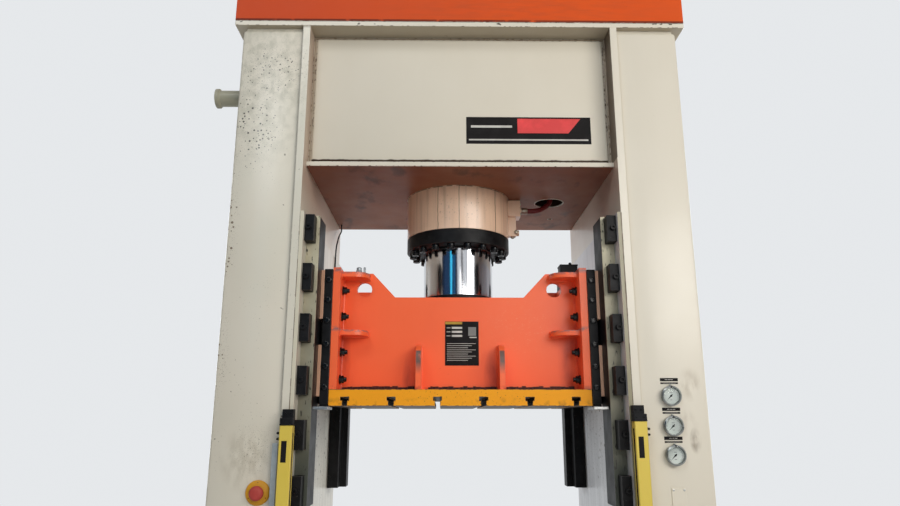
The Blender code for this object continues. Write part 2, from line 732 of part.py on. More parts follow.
def slide_frame():
    """The slide's weldment: side plates, front and rear plates, rod seat, webs, gussets and ribs."""
    wall = SLIDE_HALF - SIDE_PLATE
    outline = saddle_outline(wall + SINK)
    holes = [((side * LIFTING_X, LIFTING_Z), LIFTING_HOLE) for side in ENDS]
    front = (-FRONT_PLATE_FACE, FRONT_PLATE - FRONT_PLATE_FACE)
    rear = (FRONT_PLATE_FACE - FRONT_PLATE, FRONT_PLATE_FACE)
    body = plate("slide_frame", outline, front, "Y", ORANGE, holes)
    combine(body, plate("slide_rear_plate", outline, rear, "Y", None, holes), "UNION")
    inside = FRONT_PLATE_FACE - FRONT_PLATE + SINK
    seat = (ROD_SEAT_TOP - ROD_SEAT, ROD_SEAT_TOP)

    def sides(mesh):
        for side in ENDS:
            x = (side * wall, side * SLIDE_HALF)
            box(mesh, x, (-SLIDE_HALF_DEPTH, SLIDE_HALF_DEPTH), (SLIDE_BASE, SLIDE_TOP))

    def webs(mesh):
        for side in ENDS:
            x = (side * SLIDE_WEB_AT, side * (SLIDE_WEB_AT + WEB_THICKNESS))
            box(mesh, x, (-inside, inside), (SLIDE_BASE, seat[0] + SINK))

    weld(body, "slide_side_plates", sides)
    across = (-wall - SINK, wall + SINK)
    weld(body, "slide_rod_seat", lambda m: box(m, across, (-inside, inside), seat))
    weld(body, "slide_webs", webs)
    for side in ENDS:
        for end in ENDS:
            for i, top in enumerate(GUSSET_TOPS):
                outline = gusset_outline(side, end)
                gusset = plate(f"gusset_{side}_{end}_{i}", outline, (top - GUSSET, top), "Z", None)
                combine(body, gusset, "UNION")
            x = (side * RIB_AT - RIB / 2, side * RIB_AT + RIB / 2)
            combine(body, plate(f"rib_{side}_{end}", rib_outline(end), x, "X", None), "UNION")
    return body


def shoe(name, side, end):
    """A guide shoe: a bar on the side plate with an outward leg behind the rail."""
    wall = SLIDE_HALF + GAP
    front = SHOE_FRONT if end < 0 else REAR_FOOT_BACK - GAP
    leg = RAIL_BACK - GAP
    edge = [(wall, SHOE_BACK), (wall, front), (SHOE_SIDE, front)]
    edge += [(SHOE_SIDE, leg), (SHOE_LEG, leg), (SHOE_LEG, SHOE_BACK)]
    return plate(name, [(side * x, end * y) for x, y in edge], (SHOE_BOTTOM, SHOE_TOP), "Z", BLACK)


def liner(name, side, end, rises):
    """A bronze liner on a shoe's side, facing the rail."""
    x = (side * (SHOE_SIDE + GAP), side * (RAIL_FACE - GAP))
    front = SHOE_FRONT if end < 0 else REAR_FOOT_BACK - GAP
    z = (SHOE_BOTTOM + rises[0], SHOE_BOTTOM + rises[1])
    return block(name, x, (end * front, end * RAIL_BACK), z, BRONZE)


def rail(name, side, end):
    """A guide rail with its adjusting blocks, and at the rear a foot behind the shoe."""
    wall = PACKING_FACE - GAP
    edge = [(RAIL_FACE, RAIL_BACK), (RAIL_FACE, RAIL_FRONT), (wall, RAIL_FRONT), (wall, RAIL_BACK)]
    if end > 0:
        foot = [(RAIL_FACE, REAR_FOOT_BACK), (REAR_FOOT_FACE, REAR_FOOT_BACK), (REAR_FOOT_FACE, RAIL_FRONT)]
        edge = [edge[0]] + foot + edge[2:]
    body = plate(name, [(side * x, end * y) for x, y in edge], (RAIL_BOTTOM, RAIL_TOP[end]), "Z", BLACK)
    x = (side * (RAIL_FACE + BLOCK_INSET), side * wall)
    y = (end * (RAIL_FRONT - SINK), end * (RAIL_FRONT + BLOCK_DEPTH))
    tall = BLOCK_HEIGHT / 2
    spans = [(z - tall, z + tall) for z in block_heights(end)]
    return weld(body, name + "_blocks", lambda m: [box(m, x, y, z) for z in spans])


def block_heights(end):
    """The middles of a rail's adjusting blocks, spread from the top down."""
    top, low = RAIL_TOP[end] - BLOCK_END, RAIL_BOTTOM + BLOCK_END
    return [top - i * (top - low) / (BLOCKS - 1) for i in range(BLOCKS)]


def packing_strip(name, side, end):
    """The strip on a rail's front face, notched round the adjusting blocks."""
    wall = PACKING_FACE - GAP
    y = (end * (RAIL_FRONT + GAP), end * (RAIL_FRONT + STRIP))
    body = block(name, (side * RAIL_FACE, side * wall), y, (RAIL_BOTTOM, RAIL_TOP[end]), KHAKI)
    notch_x = (side * (RAIL_FACE + BLOCK_INSET - GAP), side * (wall + BEYOND))
    notch_y = (end * RAIL_FRONT / 2, end * (RAIL_FRONT + BLOCK_DEPTH))
    tall = BLOCK_HEIGHT / 2 + GAP
    notches = [(z - tall, z + tall) for z in block_heights(end)]
    return carve(body, name + "_notches", lambda m: [box(m, notch_x, notch_y, z) for z in notches])


def bed():
    """The box bed between the columns: webs, a recessed front panel and access holes at the rear."""
    half = PACKING_FACE - GAP
    body = block("bed", (-half, half), (-BED_FRONT, BED_FRONT), (0, BED_TOP), CREAM)
    low, high = BED_WALL, BED_TOP - 2 * BED_WALL
    rooms = (
        (BED_WALL - half, -WEB_OFFSET),
        (WEB_THICKNESS - WEB_OFFSET, WEB_OFFSET - WEB_THICKNESS),
        (WEB_OFFSET, half - BED_WALL),
    )
    depth = BED_FRONT - BED_WALL
    middle = (low + high) / 2

    def holes(mesh):
        for room in rooms:
            x = sum(room) / 2
            radius = min(BED_HOLE, (room[1] - room[0]) / 2 - BED_WALL)
            rod(mesh, (x, 0, middle), (x, BED_FRONT + BEYOND, middle), radius, 24)

    def panel(mesh):
        x = half - BED_BORDER
        box(mesh, (-x, x), (BED_RECESS - BED_FRONT, -BED_FRONT - BEYOND), (BED_BORDER, BED_TOP - BED_BORDER))

    carve(body, "bed_rooms", lambda m: [box(m, room, (-depth, depth), (low, high)) for room in rooms])
    carve(body, "bed_holes", holes)
    return carve(body, "bed_panel", panel)


def curtain(word, side):
    """A light curtain post: body with its window, and end caps with brackets back to the column."""
    middle = side * CURTAIN_AT[side]
    x = (middle - CURTAIN_WIDTH / 2, middle + CURTAIN_WIDTH / 2)
    y = (-CURTAIN_BACK - CURTAIN_DEPTH, -CURTAIN_BACK - GAP)
    low, high = CURTAIN_BOTTOM - CURTAIN_DROP[side], CURTAIN_TOP - CURTAIN_DROP[side]
    body = block(f"curtain_body_{word}", x, y, (low + GAP, high - GAP), CURTAIN)
    soften(body, CURTAIN_EDGE, 1)
    inner = middle - side * CURTAIN_WIDTH / 2
    centre = sum(y) / 2
    window_y = (centre - CURTAIN_WINDOW / 2, centre + CURTAIN_WINDOW / 2)
    window_z = (low + CURTAIN_CAP, high - CURTAIN_CAP)
    window_x = (inner - side * BEYOND, inner + side * CURTAIN_EDGE)
    carve(body, f"curtain_window_{word}", lambda m: box(m, window_x, window_y, window_z))
    for end, where, base in ((1, "top", high), (-1, "bottom", low)):
        tip = base + end * CURTAIN_CAP
        cap = block(f"curtain_cap_{where}_{word}", x, y, (base, tip), BLACK)
        arm_x = (x[0] + CURTAIN_EDGE, x[1] - CURTAIN_EDGE)
        arm_y = (centre, -HALF_DEPTH - GAP)
        arm_z = (tip - end * SINK, tip + end * CURTAIN_BRACKET)
        arm = (arm_x, arm_y, arm_z)
        weld(cap, f"curtain_arm_{where}_{word}", lambda m, arm=arm: box(m, *arm))


def estop():
    """The emergency stop: a collar on the column's panel and a mushroom button that travels in it."""
    x, z = ESTOP_AT
    at = (x, -PANEL_FACE, z)
    bore = ESTOP_STEM + RUNNING
    collar = [
        (bore, ESTOP_RAISE),
        (0.021, ESTOP_RAISE),
        (0.022, 0.012),
        (0.044, 0.010),
        (ESTOP_COLLAR, 0.006),
        (ESTOP_COLLAR, GAP),
        (bore, GAP),
    ]
    turned("estop_collar", collar, AMBER, 32, "-Y", at, ring=True)
    under = ESTOP_RAISE + ESTOP_TRAVEL + 0.001
    button = [
        (0, under + ESTOP_DOME),
        (0.016, under + ESTOP_DOME - 0.001),
        (0.025, under + ESTOP_DOME - 0.005),
        (ESTOP_HEAD, under + ESTOP_DOME - 0.011),
        (ESTOP_HEAD, under),
        (ESTOP_STEM, under),
        (ESTOP_STEM, ESTOP_TRAVEL + 0.002),
        (0, ESTOP_TRAVEL + 0.002),
    ]
    return turned("estop_button", button, RED, 32, "-Y", at)


def gauge(name, z):
    """A pressure gauge: its case with bezel, dial floor and filling plug, and the needle over the dial."""
    at = (GAUGE_X, -PANEL_FACE, z)
    rim = GAUGE_DEPTH
    profile = [
        (0, GAUGE_DIAL),
        (GAUGE_SIGHT, GAUGE_DIAL),
        (GAUGE_SIGHT + 0.002, rim),
        (GAUGE, rim - 0.004),
        (GAUGE, rim - 0.012),
        (GAUGE - 0.0025, rim - 0.012),
        (GAUGE - 0.0025, GAP),
        (0, GAP),
    ]
    case = turned(f"gauge_case_{name}", profile, STEEL, 32, "-Y", at)
    plug = (GAUGE_X, -PANEL_FACE - rim / 3, z + GAUGE - 0.005)
    weld(case, f"gauge_plug_{name}", lambda m: rod(m, plug, Vector(plug) + Vector((0, 0, 0.010)), 0.005, 10))
    rest = math.radians(NEEDLE_REST)
    along = Vector((math.cos(rest), math.sin(rest)))
    across = Vector((-along.y, along.x))
    centre = Vector((GAUGE_X, z))
    end, side = centre - along * NEEDLE_TAIL, across * NEEDLE_HUB / 2
    turns = [math.radians(a) for a in (50, 80, 110, 140, 220, 250, 280, 310)]
    hub = [centre + NEEDLE_HUB * (along * math.cos(a) + across * math.sin(a)) for a in turns]
    outline = [centre + along * NEEDLE_LENGTH] + hub[:4] + [end + side, end - side] + hub[4:]
    foot = -PANEL_FACE - GAUGE_DIAL - NEEDLE_LIFT
    across = (foot - NEEDLE_THICKNESS, foot)
    return plate(f"gauge_needle_{name}", [tuple(p) for p in outline], across, "Y", BLACK)


def cover_plate():
    """The small cover under the gauges."""
    x, z = COVER_AT
    wide, tall = COVER_SIZE
    face = -PANEL_FACE - GAP
    height = (z - tall / 2, z + tall / 2)
    return block("cover_plate", (x - wide / 2, x + wide / 2), (face - COVER, face), height, CREAM)


def stub():
    """The short flanged stub on the left column's outer side."""
    y, z = STUB_AT
    profile = [
        (STUB_BORE, -GAP),
        (STUB, -GAP),
        (STUB, STUB_FLANGE_DEPTH - STUB_REACH),
        (STUB_FLANGE, STUB_FLANGE_DEPTH - STUB_REACH),
        (STUB_FLANGE, -STUB_REACH),
        (STUB_BORE, -STUB_REACH),
    ]
    return turned("side_stub", profile, CREAM, 24, "X", (-HALF_WIDTH, y, z), ring=True)


def port():
    """The port block and the smaller plug block under it, seated on the barrel."""
    back = BARREL - PORT_HALF / 2
    face = BARREL + PORT_OUT
    body = block("port_block", (back, face), (-PORT_HALF, PORT_HALF), PORT_Z, CREAM)
    plug_x = (back, BARREL + PLUG_OUT)
    plug_z = (PLUG_BOTTOM, PORT_Z[0] + SINK)
    weld(body, "port_plug", lambda m: box(m, plug_x, (-PLUG_HALF, PLUG_HALF), plug_z))
    nut = (BARREL + PLUG_OUT - SINK, 0, PLUG_BOTTOM + PLUG_HALF)
    nut_end = Vector(nut) + Vector((PLUG_HALF, 0, 0))
    weld(body, "port_nut", lambda m: rod(m, nut, nut_end, PLUG_HALF * 0.8, 6))
    collar = (face - SINK, 0, HOSE_Z)
    collar_end = Vector(collar) + Vector((HOSE, 0, 0))
    weld(body, "port_collar", lambda m: rod(m, collar, collar_end, HOSE * 1.5, 16))
    low, high = (0, 0, GLAND_TOP), (0, 0, CROWN_BOTTOM + BEYOND)
    return carve(body, "port_seat", lambda m: rod(m, low, high, BARREL + GAP, 48))


def hose():
    """The hose from the port block up through the hole in the crown's bottom plate."""
    start = BARREL + PORT_OUT + HOSE + GAP - SINK
    x, y = HOSE_HOLE_AT
    points = [
        (start, 0, HOSE_Z),
        (start + 0.030, 0, HOSE_Z),
        (start + 0.070, 0.001, HOSE_Z + 0.002),
        (x - 0.040, 0.006, HOSE_Z + 0.014),
        (x, 0.012, HOSE_Z + 0.048),
        (x + 0.012, y, HOSE_Z + 0.100),
        (x + 0.014, y, HOSE_Z + 0.160),
    ]
    return tube("port_hose", points, HOSE, RUBBER)


def lube_line():
    """The thin lubrication line from the crown down the left packing plate to the rear guide rail."""
    near = -(PACKING_FACE - LUBE_PIPE - GAP)
    top = CROWN_BOTTOM - GAP
    points = [
        (near + LUBE_PIPE, LUBE_Y + LUBE_OFFSET, top),
        (near + LUBE_PIPE, LUBE_Y + LUBE_OFFSET, top - 0.040),
        (near + LUBE_PIPE, LUBE_Y + LUBE_OFFSET * 0.4, top - 0.100),
        (near + LUBE_PIPE / 2, LUBE_Y + 0.005, top - 0.170),
        (near, LUBE_Y, top - 0.250),
        (near, LUBE_Y, top - 0.430),
        (near, LUBE_Y + 0.008, top - 0.465),
        (near, LUBE_Y + 0.030, top - 0.480),
        (near, RAIL_BACK - GAP, top - 0.480),
    ]
    return tube("lube_line", points, LUBE_PIPE, BLACK, 1)


def junction_box():
    """The small black box on the slide's right ear."""
    front = -FRONT_PLATE_FACE
    z = (SLIDE_TOP, SLIDE_TOP + JUNCTION_HEIGHT)
    return soften(block("junction_box", JUNCTION_X, (front, front + JUNCTION_DEPTH), z, BLACK), 0.003, 1)


def oil_tank():
    """The oil tank: feet, box, overhanging lid and breather."""
    floor = PLATFORM + TANK_FOOT
    top = PLATFORM + TANK_HEIGHT
    body = block("oil_tank", TANK_X, TANK_Y, (floor, top), CREAM)
    soften(body, TANK_LID, 2)

    def feet(mesh):
        y = (TANK_Y[0] + TANK_FOOT, TANK_Y[1] - TANK_FOOT)
        for x in (TANK_X[0] + TANK_FOOT, TANK_X[1] - 2 * TANK_FOOT):
            box(mesh, (x, x + TANK_FOOT), y, (PLATFORM, floor + SINK))

    def lid(mesh):
        x = (TANK_X[0] - TANK_LID, TANK_X[1] + TANK_LID)
        y = (TANK_Y[0] - TANK_LID, TANK_Y[1] + TANK_LID)
        box(mesh, x, y, (top - SINK, top + TANK_LID))

    def breather(mesh):
        foot = Vector((TANK_X[0] + 3 * BREATHER, TANK_Y[0] + 3 * BREATHER, top))
        rod(mesh, foot, foot + Vector((0, 0, 2 * BREATHER)), BREATHER, 20, BREATHER * 0.9)

    weld(body, "tank_feet", feet)
    weld(body, "tank_lid", lid)
    return weld(body, "tank_breather", breather)


def manifold():
    """The valve manifold over the cylinder's feed, with two solenoid valves and a relief valve."""
    low, top = PLATFORM, PLATFORM + MANIFOLD_HEIGHT
    body = block("valve_manifold", (-MANIFOLD, MANIFOLD), (-MANIFOLD, MANIFOLD), (low, top), STEEL)

    def valves(mesh):
        y = (-MANIFOLD * 0.8, MANIFOLD * 0.8)
        for side in ENDS:
            x = side * MANIFOLD / 2
            box(mesh, (x - VALVE, x + VALVE), y, (top - SINK, top + 2 * VALVE))

    def solenoids(mesh):
        for side in ENDS:
            for end in ENDS:
                foot = Vector((side * MANIFOLD / 2, end * MANIFOLD * 0.8 - end * SINK, top + VALVE))
                rod(mesh, foot, foot + Vector((0, end * 2 * VALVE, 0)), VALVE * 0.8, 16)

    weld(body, "manifold_valves", valves)
    return weld(body, "manifold_solenoids", solenoids)


def motor_outline(centre):
    """The finned section of the motor's housing: (y, z) points."""
    points = []
    root = MOTOR - FIN
    fin = ((-0.25, root), (-0.15, MOTOR), (0.15, MOTOR), (0.25, root))
    for i in range(MOTOR_FINS):
        for offset, radius in fin:
            a = 2 * math.pi * (i + offset) / MOTOR_FINS
            points.append((centre[0] + radius * math.cos(a), centre[1] + radius * math.sin(a)))
    return points


def motor():
    """The pump motor: finned housing, end bells, fan cowl, terminal box and feet."""
    z = PLATFORM + MOTOR_RISE
    inset = 0.040
    fins = (MOTOR_X[0] + inset, MOTOR_X[1] - 2 * inset)
    body = plate("pump_motor", motor_outline((MOTOR_Y, z)), fins, "X", BLUE)

    def bells(mesh):
        rod(mesh, (MOTOR_X[0], MOTOR_Y, z), (fins[0] + SINK, MOTOR_Y, z), MOTOR * 0.86, 24, MOTOR * 1.02)
        rod(mesh, (fins[1] - SINK, MOTOR_Y, z), (MOTOR_X[1], MOTOR_Y, z), MOTOR * 1.02, 24, MOTOR * 0.92)

    def feet(mesh):
        y = (MOTOR_Y - MOTOR, MOTOR_Y + MOTOR)
        for x in (fins[0] + inset, fins[1] - inset):
            box(mesh, (x - inset / 2, x + inset / 2), y, (PLATFORM, z - MOTOR * 0.6))

    def terminals(mesh):
        x = (sum(fins) / 2 - TERMINALS, sum(fins) / 2 + TERMINALS)
        y = (MOTOR_Y - TERMINALS, MOTOR_Y + TERMINALS)
        box(mesh, x, y, (z + MOTOR - 2 * FIN, z + MOTOR + TERMINALS))

    weld(body, "motor_bells", bells)
    weld(body, "motor_feet", feet)
    return weld(body, "motor_terminals", terminals)


def pump():
    """The pump with the bell housing that hangs it on the motor."""
    z = PLATFORM + MOTOR_RISE
    bell_start = MOTOR_X[0] - 0.090
    profile = [
        (0, MOTOR_X[0] - GAP),
        (BELL, MOTOR_X[0] - GAP),
        (BELL, MOTOR_X[0] - 0.014),
        (BELL * 0.8, MOTOR_X[0] - 0.020),
        (PUMP * 1.1, bell_start),
        (PUMP * 1.2, bell_start),
        (PUMP * 1.2, bell_start - 0.016),
        (PUMP, bell_start - 0.016),
        (PUMP, PUMP_X + 0.010),
        (PUMP - 0.010, PUMP_X),
        (0, PUMP_X),
    ]
    return turned("pump", profile, GREY, 24, "X", (0, MOTOR_Y, z))


def pipes():
    """The suction and pressure pipes of the hydraulic unit."""
    z = PLATFORM + MOTOR_RISE
    port_x = (PUMP_X + MOTOR_X[0] - 0.090) / 2
    tank = TANK_X[1] + GAP
    block_x = MANIFOLD + GAP
    suction = [
        (tank, SUCTION_Y, z - 0.060),
        (tank + 0.100, SUCTION_Y, z - 0.060),
        (port_x - 0.160, SUCTION_Y, z - 0.040),
        (port_x - 0.060, SUCTION_Y - 0.008, z - 0.010),
        (port_x, SUCTION_Y - 0.060, z),
        (port_x, MOTOR_Y + PUMP + GAP, z),
    ]
    pressure = [
        (port_x, MOTOR_Y - PUMP - GAP, z),
        (port_x, MOTOR_Y - PUMP - 0.040, z),
        (port_x - 0.020, MOTOR_Y - PUMP - 0.085, z - 0.055),
        (port_x - 0.080, MOTOR_Y - PUMP - 0.080, z - 0.120),
        (block_x, MOTOR_Y - PUMP - 0.080, z - 0.120),
    ]
    tube("suction_pipe", suction, SUCTION, STEEL)
    tube("pressure_pipe", pressure, PIPE, STEEL)


def build():
    """Makes every piece of the press."""
    words = {-1: "left", 1: "right"}
    lengths = {-1: "front", 1: "rear"}
    for side, word in words.items():
        column(f"{word}_column", side)
        base_plate(f"base_plate_{word}", side)
        curtain(word, side)
        packing_strip(f"packing_strip_{word}", side, -1)
        for end, where in lengths.items():
            rail(f"guide_rail_{where}_{word}", side, end)
            shoe(f"shoe_{where}_{word}", side, end)
            for i, rises in enumerate(LINER_RISES):
                liner(f"liner_{where}_{word}_{('lower', 'upper')[i]}", side, end, rises)
    crown()
    top_plate()
    fascia()
    bed()
    bolster()
    barrel()
    gland()
    piston_rod()
    rod_collar()
    slide_plate()
    slide_frame()
    estop()
    for i, z in enumerate(GAUGE_HEIGHTS):
        gauge(("top", "middle", "bottom")[i], z)
    cover_plate()
    stub()
    port()
    hose()
    lube_line()
    junction_box()
    oil_tank()
    manifold()
    motor()
    pump()
    pipes()


build()
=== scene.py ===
"""Looks of the hydraulic press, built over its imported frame: metres, +Z up, the front towards -Y."""

import json
import math
import random

import bmesh
import bpy
from mathutils import Matrix, Vector


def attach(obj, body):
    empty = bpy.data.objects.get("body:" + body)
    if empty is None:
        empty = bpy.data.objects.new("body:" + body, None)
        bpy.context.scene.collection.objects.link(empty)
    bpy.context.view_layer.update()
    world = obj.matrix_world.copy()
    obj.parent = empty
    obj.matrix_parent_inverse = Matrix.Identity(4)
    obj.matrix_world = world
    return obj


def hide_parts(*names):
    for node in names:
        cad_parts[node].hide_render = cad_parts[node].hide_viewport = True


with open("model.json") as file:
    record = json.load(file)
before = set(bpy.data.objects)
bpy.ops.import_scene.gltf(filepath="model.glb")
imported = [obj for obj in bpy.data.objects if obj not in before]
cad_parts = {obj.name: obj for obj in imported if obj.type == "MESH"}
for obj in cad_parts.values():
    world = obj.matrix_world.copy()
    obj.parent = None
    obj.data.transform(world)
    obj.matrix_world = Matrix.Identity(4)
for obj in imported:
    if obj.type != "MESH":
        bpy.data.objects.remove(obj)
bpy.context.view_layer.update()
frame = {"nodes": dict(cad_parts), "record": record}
dice = random.Random(7)
BODIES = frame["record"]["behaviour"]["bodies"]

# Sides and ends by their sign, the words for them in the nodes' names, axes and directions
ENDS = (-1, 1)
SIDE_WORDS = ("left", "right")
END_WORDS = ("front", "rear")
GAUGE_WORDS = ("top", "middle", "bottom")
X, Y, Z = 0, 1, 2
UP, DOWN, FRONT, RIGHT, LEFT = (0, 0, 1), (0, 0, -1), (0, -1, 0), (1, 0, 0), (-1, 0, 0)

# Places on the frame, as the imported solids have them
HALF_DEPTH, PANEL_FACE, PACKING_FACE, INNER_FACE, PACKING_TOP = 0.570, 0.552, 0.678, 0.695, 2.460
CROWN_FRONT, CROWN_LOW, CROWN_LIP, TOP_LOW, PLATFORM = 0.480, 2.690, 2.712, 3.360, 3.385
SLIDE_HALF, SIDE_PLATE, SLIDE_LOW, SLIDE_BASE, SLIDE_TOP = 0.570, 0.033, 1.640, 1.710, 2.250
SLOT_PITCH = 0.2
PLATE_FACE, GUSSET_REACH, GUSSET_FRONT, GUSSET, RIB_AT, RIB = 0.255, 0.124, 0.355, 0.023, 0.185, 0.024
GUSSET_TOPS = (2.238, 1.973)
SHOE_SIDE, SHOE_FRONT, SHOE_BOTTOM, RAIL_FACE, RAIL_BOTTOM = 0.607, 0.400, 1.650, 0.622, 1.238
BLOCK_HEIGHTS = {-1: [2.393 - 0.2176 * i for i in range(6)], 1: [2.293 - 0.1976 * i for i in range(6)]}
BLOCK_FACE, BLOCK_HALF, REAR_RAIL_TOP = 0.546, 0.0595, 2.360
GLAND_LOW, GLAND_CIRCLE, GLAND_HEAD, GLAND_BOLTS = 2.404, 0.228, 0.018, 18
COLLAR_TOP, COLLAR_CIRCLE, COLLAR_BOLTS = 2.1273, 0.190, 8
PORT_Z, HOSE_HOLE, ANCHOR_XS, ANCHOR_Y = 2.640, (0.480, 0.020), (0.788, 0.950), 0.600
CURTAIN_AT = {-1: 0.692, 1: 0.706}
CURTAIN_WIDTH, CURTAIN_FRONT, CURTAIN_REAR = 0.051, 0.627, 0.5823
CURTAIN_MIDDLE = -(CURTAIN_FRONT + CURTAIN_REAR) / 2
CURTAIN_BOTTOM, CURTAIN_TOP, CURTAIN_CAP = {-1: 0.774, 1: 0.790}, {-1: 1.561, 1: 1.577}, 0.028
ESTOP_AT, COVER_AT = (-0.804, 1.303), (0.860, 1.259)
GAUGE_X, GAUGE_HEIGHTS, GAUGE_DIAL = 0.854, (1.677, 1.558, 1.444), 0.012
STUB_Y, STUB_Z = -0.420, 3.060
TANK_X, TANK_Y, TANK_TOP, BREATHER = (-0.900, -0.230), (-0.400, 0.420), PLATFORM + 0.492, (-0.780, -0.280)
MOTOR_Y, MOTOR_Z, MOTOR_END = 0.080, PLATFORM + 0.230, 0.8005
PUMP_X, BOX_TOP, EAR_TOP = 0.265, 2.2965, 2.2497

# Softness of a mask's edge, distance that joins vertices, angles of flat, sharp and rounded edges
COAT_ROUGHNESS, CRISP, MERGE = 0.22, 0.0006, 0.00001
FLAT, SHARP, ROUNDED = math.radians(1), math.radians(38), math.radians(40)
BEAD_RADIUS, BEAD_PITCH = 0.005, 0.007


class Finish:
    """Builds a procedural material from nodes; sockets come back so that they can be joined."""

    def __init__(self, name, rough, metallic=0.0, coat=0.0, shine=0.5):
        self.material = bpy.data.materials.new(name)
        self.material.use_nodes = True
        self.tree = self.material.node_tree
        self.shader = self.tree.nodes["Principled BSDF"]
        for key, value in (("Roughness", rough), ("Metallic", metallic), ("Coat Weight", coat),
                           ("Coat Roughness", COAT_ROUGHNESS), ("Specular IOR Level", shine)):
            self.shader.inputs[key].default_value = value
        self.tone = None
        self.place = self.node("ShaderNodeTexCoord").outputs["Object"]
        self.parts = self.node("ShaderNodeSeparateXYZ", {"Vector": self.place}).outputs

    def node(self, kind, inputs=None, **settings):
        made = self.tree.nodes.new(kind)
        for key, value in settings.items():
            setattr(made, key, value)
        for key, value in (inputs or {}).items():
            self.feed(made.inputs[key], value)
        return made

    def feed(self, socket, value):
        if isinstance(value, bpy.types.NodeSocket):
            self.tree.links.new(value, socket)
        elif isinstance(value, tuple) and len(value) == 3 and socket.type == "RGBA":
            socket.default_value = (*value, 1.0)
        else:
            socket.default_value = value

    def noise(self, scale, detail=3, stretch=(1, 1, 1), shift=0.0):
        settings = {"Vector": self.place, "Scale": stretch, "Location": (shift, shift, shift)}
        moved = self.node("ShaderNodeMapping", settings)
        made = self.node("ShaderNodeTexNoise", {"Vector": moved.outputs[0], "Scale": scale, "Detail": detail})
        return made.outputs["Fac"]

    def ramp(self, value, low, high):
        """0 where a value is low, 1 where it is high."""
        made = self.node("ShaderNodeMapRange", {"Value": value, "From Min": low, "From Max": high})
        return made.outputs[0]

    def climb(self, axis, low, high):
        """0 at one place along an axis, 1 at another."""
        return self.ramp(self.parts[axis], low, high)

    def grain(self, scale, low, high, detail=3, stretch=(1, 1, 1), shift=0.0):
        """Patches of noise, from 0 where it is low to 1 where it is high."""
        return self.ramp(self.noise(scale, detail, stretch, shift), low, high)

    def math(self, operation, a, b=0.0):
        return self.node("ShaderNodeMath", {0: a, 1: b}, operation=operation).outputs[0]

    def mix(self, factor, a, b):
        made = self.node("ShaderNodeMix", data_type="RGBA")
        for index, value in ((0, factor), (6, a), (7, b)):
            self.feed(made.inputs[index], value)
        return made.outputs[2]

    def near(self, axis, at, reach):
        """1 at a place along an axis, falling to 0 a reach away."""
        away = self.math("ABSOLUTE", self.math("SUBTRACT", self.parts[axis], at))
        return self.ramp(away, reach, 0.0)

    def below(self, axis, at, reach):
        """1 below a place along an axis, 0 above it, over a short reach."""
        return self.ramp(self.parts[axis], at + reach / 2, at - reach / 2)

    def inside(self, axis, at, reach):
        """1 where the distance from the middle plane is less than a size, 0 beyond it."""
        return self.ramp(self.math("ABSOLUTE", self.parts[axis]), at + reach / 2, at - reach / 2)

    def spot(self, at, size):
        """1 at a place, falling to 0 at the rim of an ellipsoid round it."""
        scale = tuple(1 / s for s in size)
        place = tuple(-a / s for a, s in zip(at, size))
        moved = self.node("ShaderNodeMapping", {"Vector": self.place, "Scale": scale, "Location": place})
        far = self.node("ShaderNodeVectorMath", {0: moved.outputs[0]}, operation="LENGTH").outputs["Value"]
        return self.ramp(far, 1.0, 0.35)

    def both(self, *factors):
        """The product of masks and numbers."""
        total = factors[0]
        for factor in factors[1:]:
            total = self.math("MULTIPLY", total, factor)
        return total

    def over(self, tone, colour, *factors):
        """The tone with a colour laid over it, by the product of the factors."""
        return self.mix(self.both(*factors), tone, colour)

    def lay(self, colour, *factors):
        """Lays a colour over the finish's own tone."""
        self.tone = self.over(self.tone, colour, *factors)

    def colour(self, value):
        self.feed(self.shader.inputs["Base Color"], value)

    def rough(self, low, high, noise):
        made = self.node("ShaderNodeMapRange", {"Value": noise, "To Min": low, "To Max": high})
        self.feed(self.shader.inputs["Roughness"], made.outputs[0])

    def bump(self, height, strength, distance):
        made = self.node("ShaderNodeBump", {"Height": height, "Strength": strength, "Distance": distance})
        self.feed(self.shader.inputs["Normal"], made.outputs[0])
        return self


def painted(name, base, dust, chip, rough=0.42, specks=0.68, chips=0.72, coat=0.15, streaks=0.25, marks=None,
            shine=0.5):
    """Sprayed machine paint: slow tone changes, runs of dust, small specks, chips and orange peel.

    marks lays what one piece has of its own over the finish's tone.
    """
    f = Finish(name, rough, 0.0, coat, shine)
    f.tone = f.over(base, dust, f.grain(1.7, 0.35, 0.75, 4), 0.35)
    f.lay(dust, f.grain(9, 0.45, 0.8, 4, (1, 1, 0.12)), streaks)
    f.lay(chip, f.grain(150, specks, specks + 0.05, 2), f.grain(5, 0.48, 0.66, shift=3.0))
    f.lay(chip, f.grain(38, chips, chips + 0.03, shift=7.0))
    f.rough(rough - 0.08, rough + 0.14, f.noise(14, 4))
    if marks:
        marks(f)
    f.colour(f.tone)
    return f.bump(f.noise(420, 2), 0.12, 0.0006)


def worn(name, base, bare, amount):
    """The same paint on an edge, where knocks have gone through it."""
    f = Finish(name, 0.5)
    f.colour(f.over(base, bare, f.grain(55, 0.62 - amount * 0.25, 0.66 - amount * 0.2, 4)))
    return f.bump(f.noise(300, 2), 0.2, 0.0006)


def metal(name, base, other, rough, metallic, scale, stretch=(1, 1, 1), specks=None, marks=None, shine=0.5):
    """Machined, blackened or cast metal: two tones, directional marks and optional specks."""
    f = Finish(name, rough, metallic, 0.0, shine)
    f.tone = f.over(base, other, f.grain(scale, 0.3, 0.7, 4, stretch))
    if specks:
        amount, dirt = specks
        f.lay(dirt, f.grain(120, amount, amount + 0.04, shift=5.0))
    if marks:
        marks(f)
    f.colour(f.tone)
    f.rough(max(rough - 0.12, 0.03), rough + 0.15, f.noise(scale * 0.7, 3, stretch))
    return f.bump(f.noise(scale * 8, 2, stretch), 0.15, 0.0004)


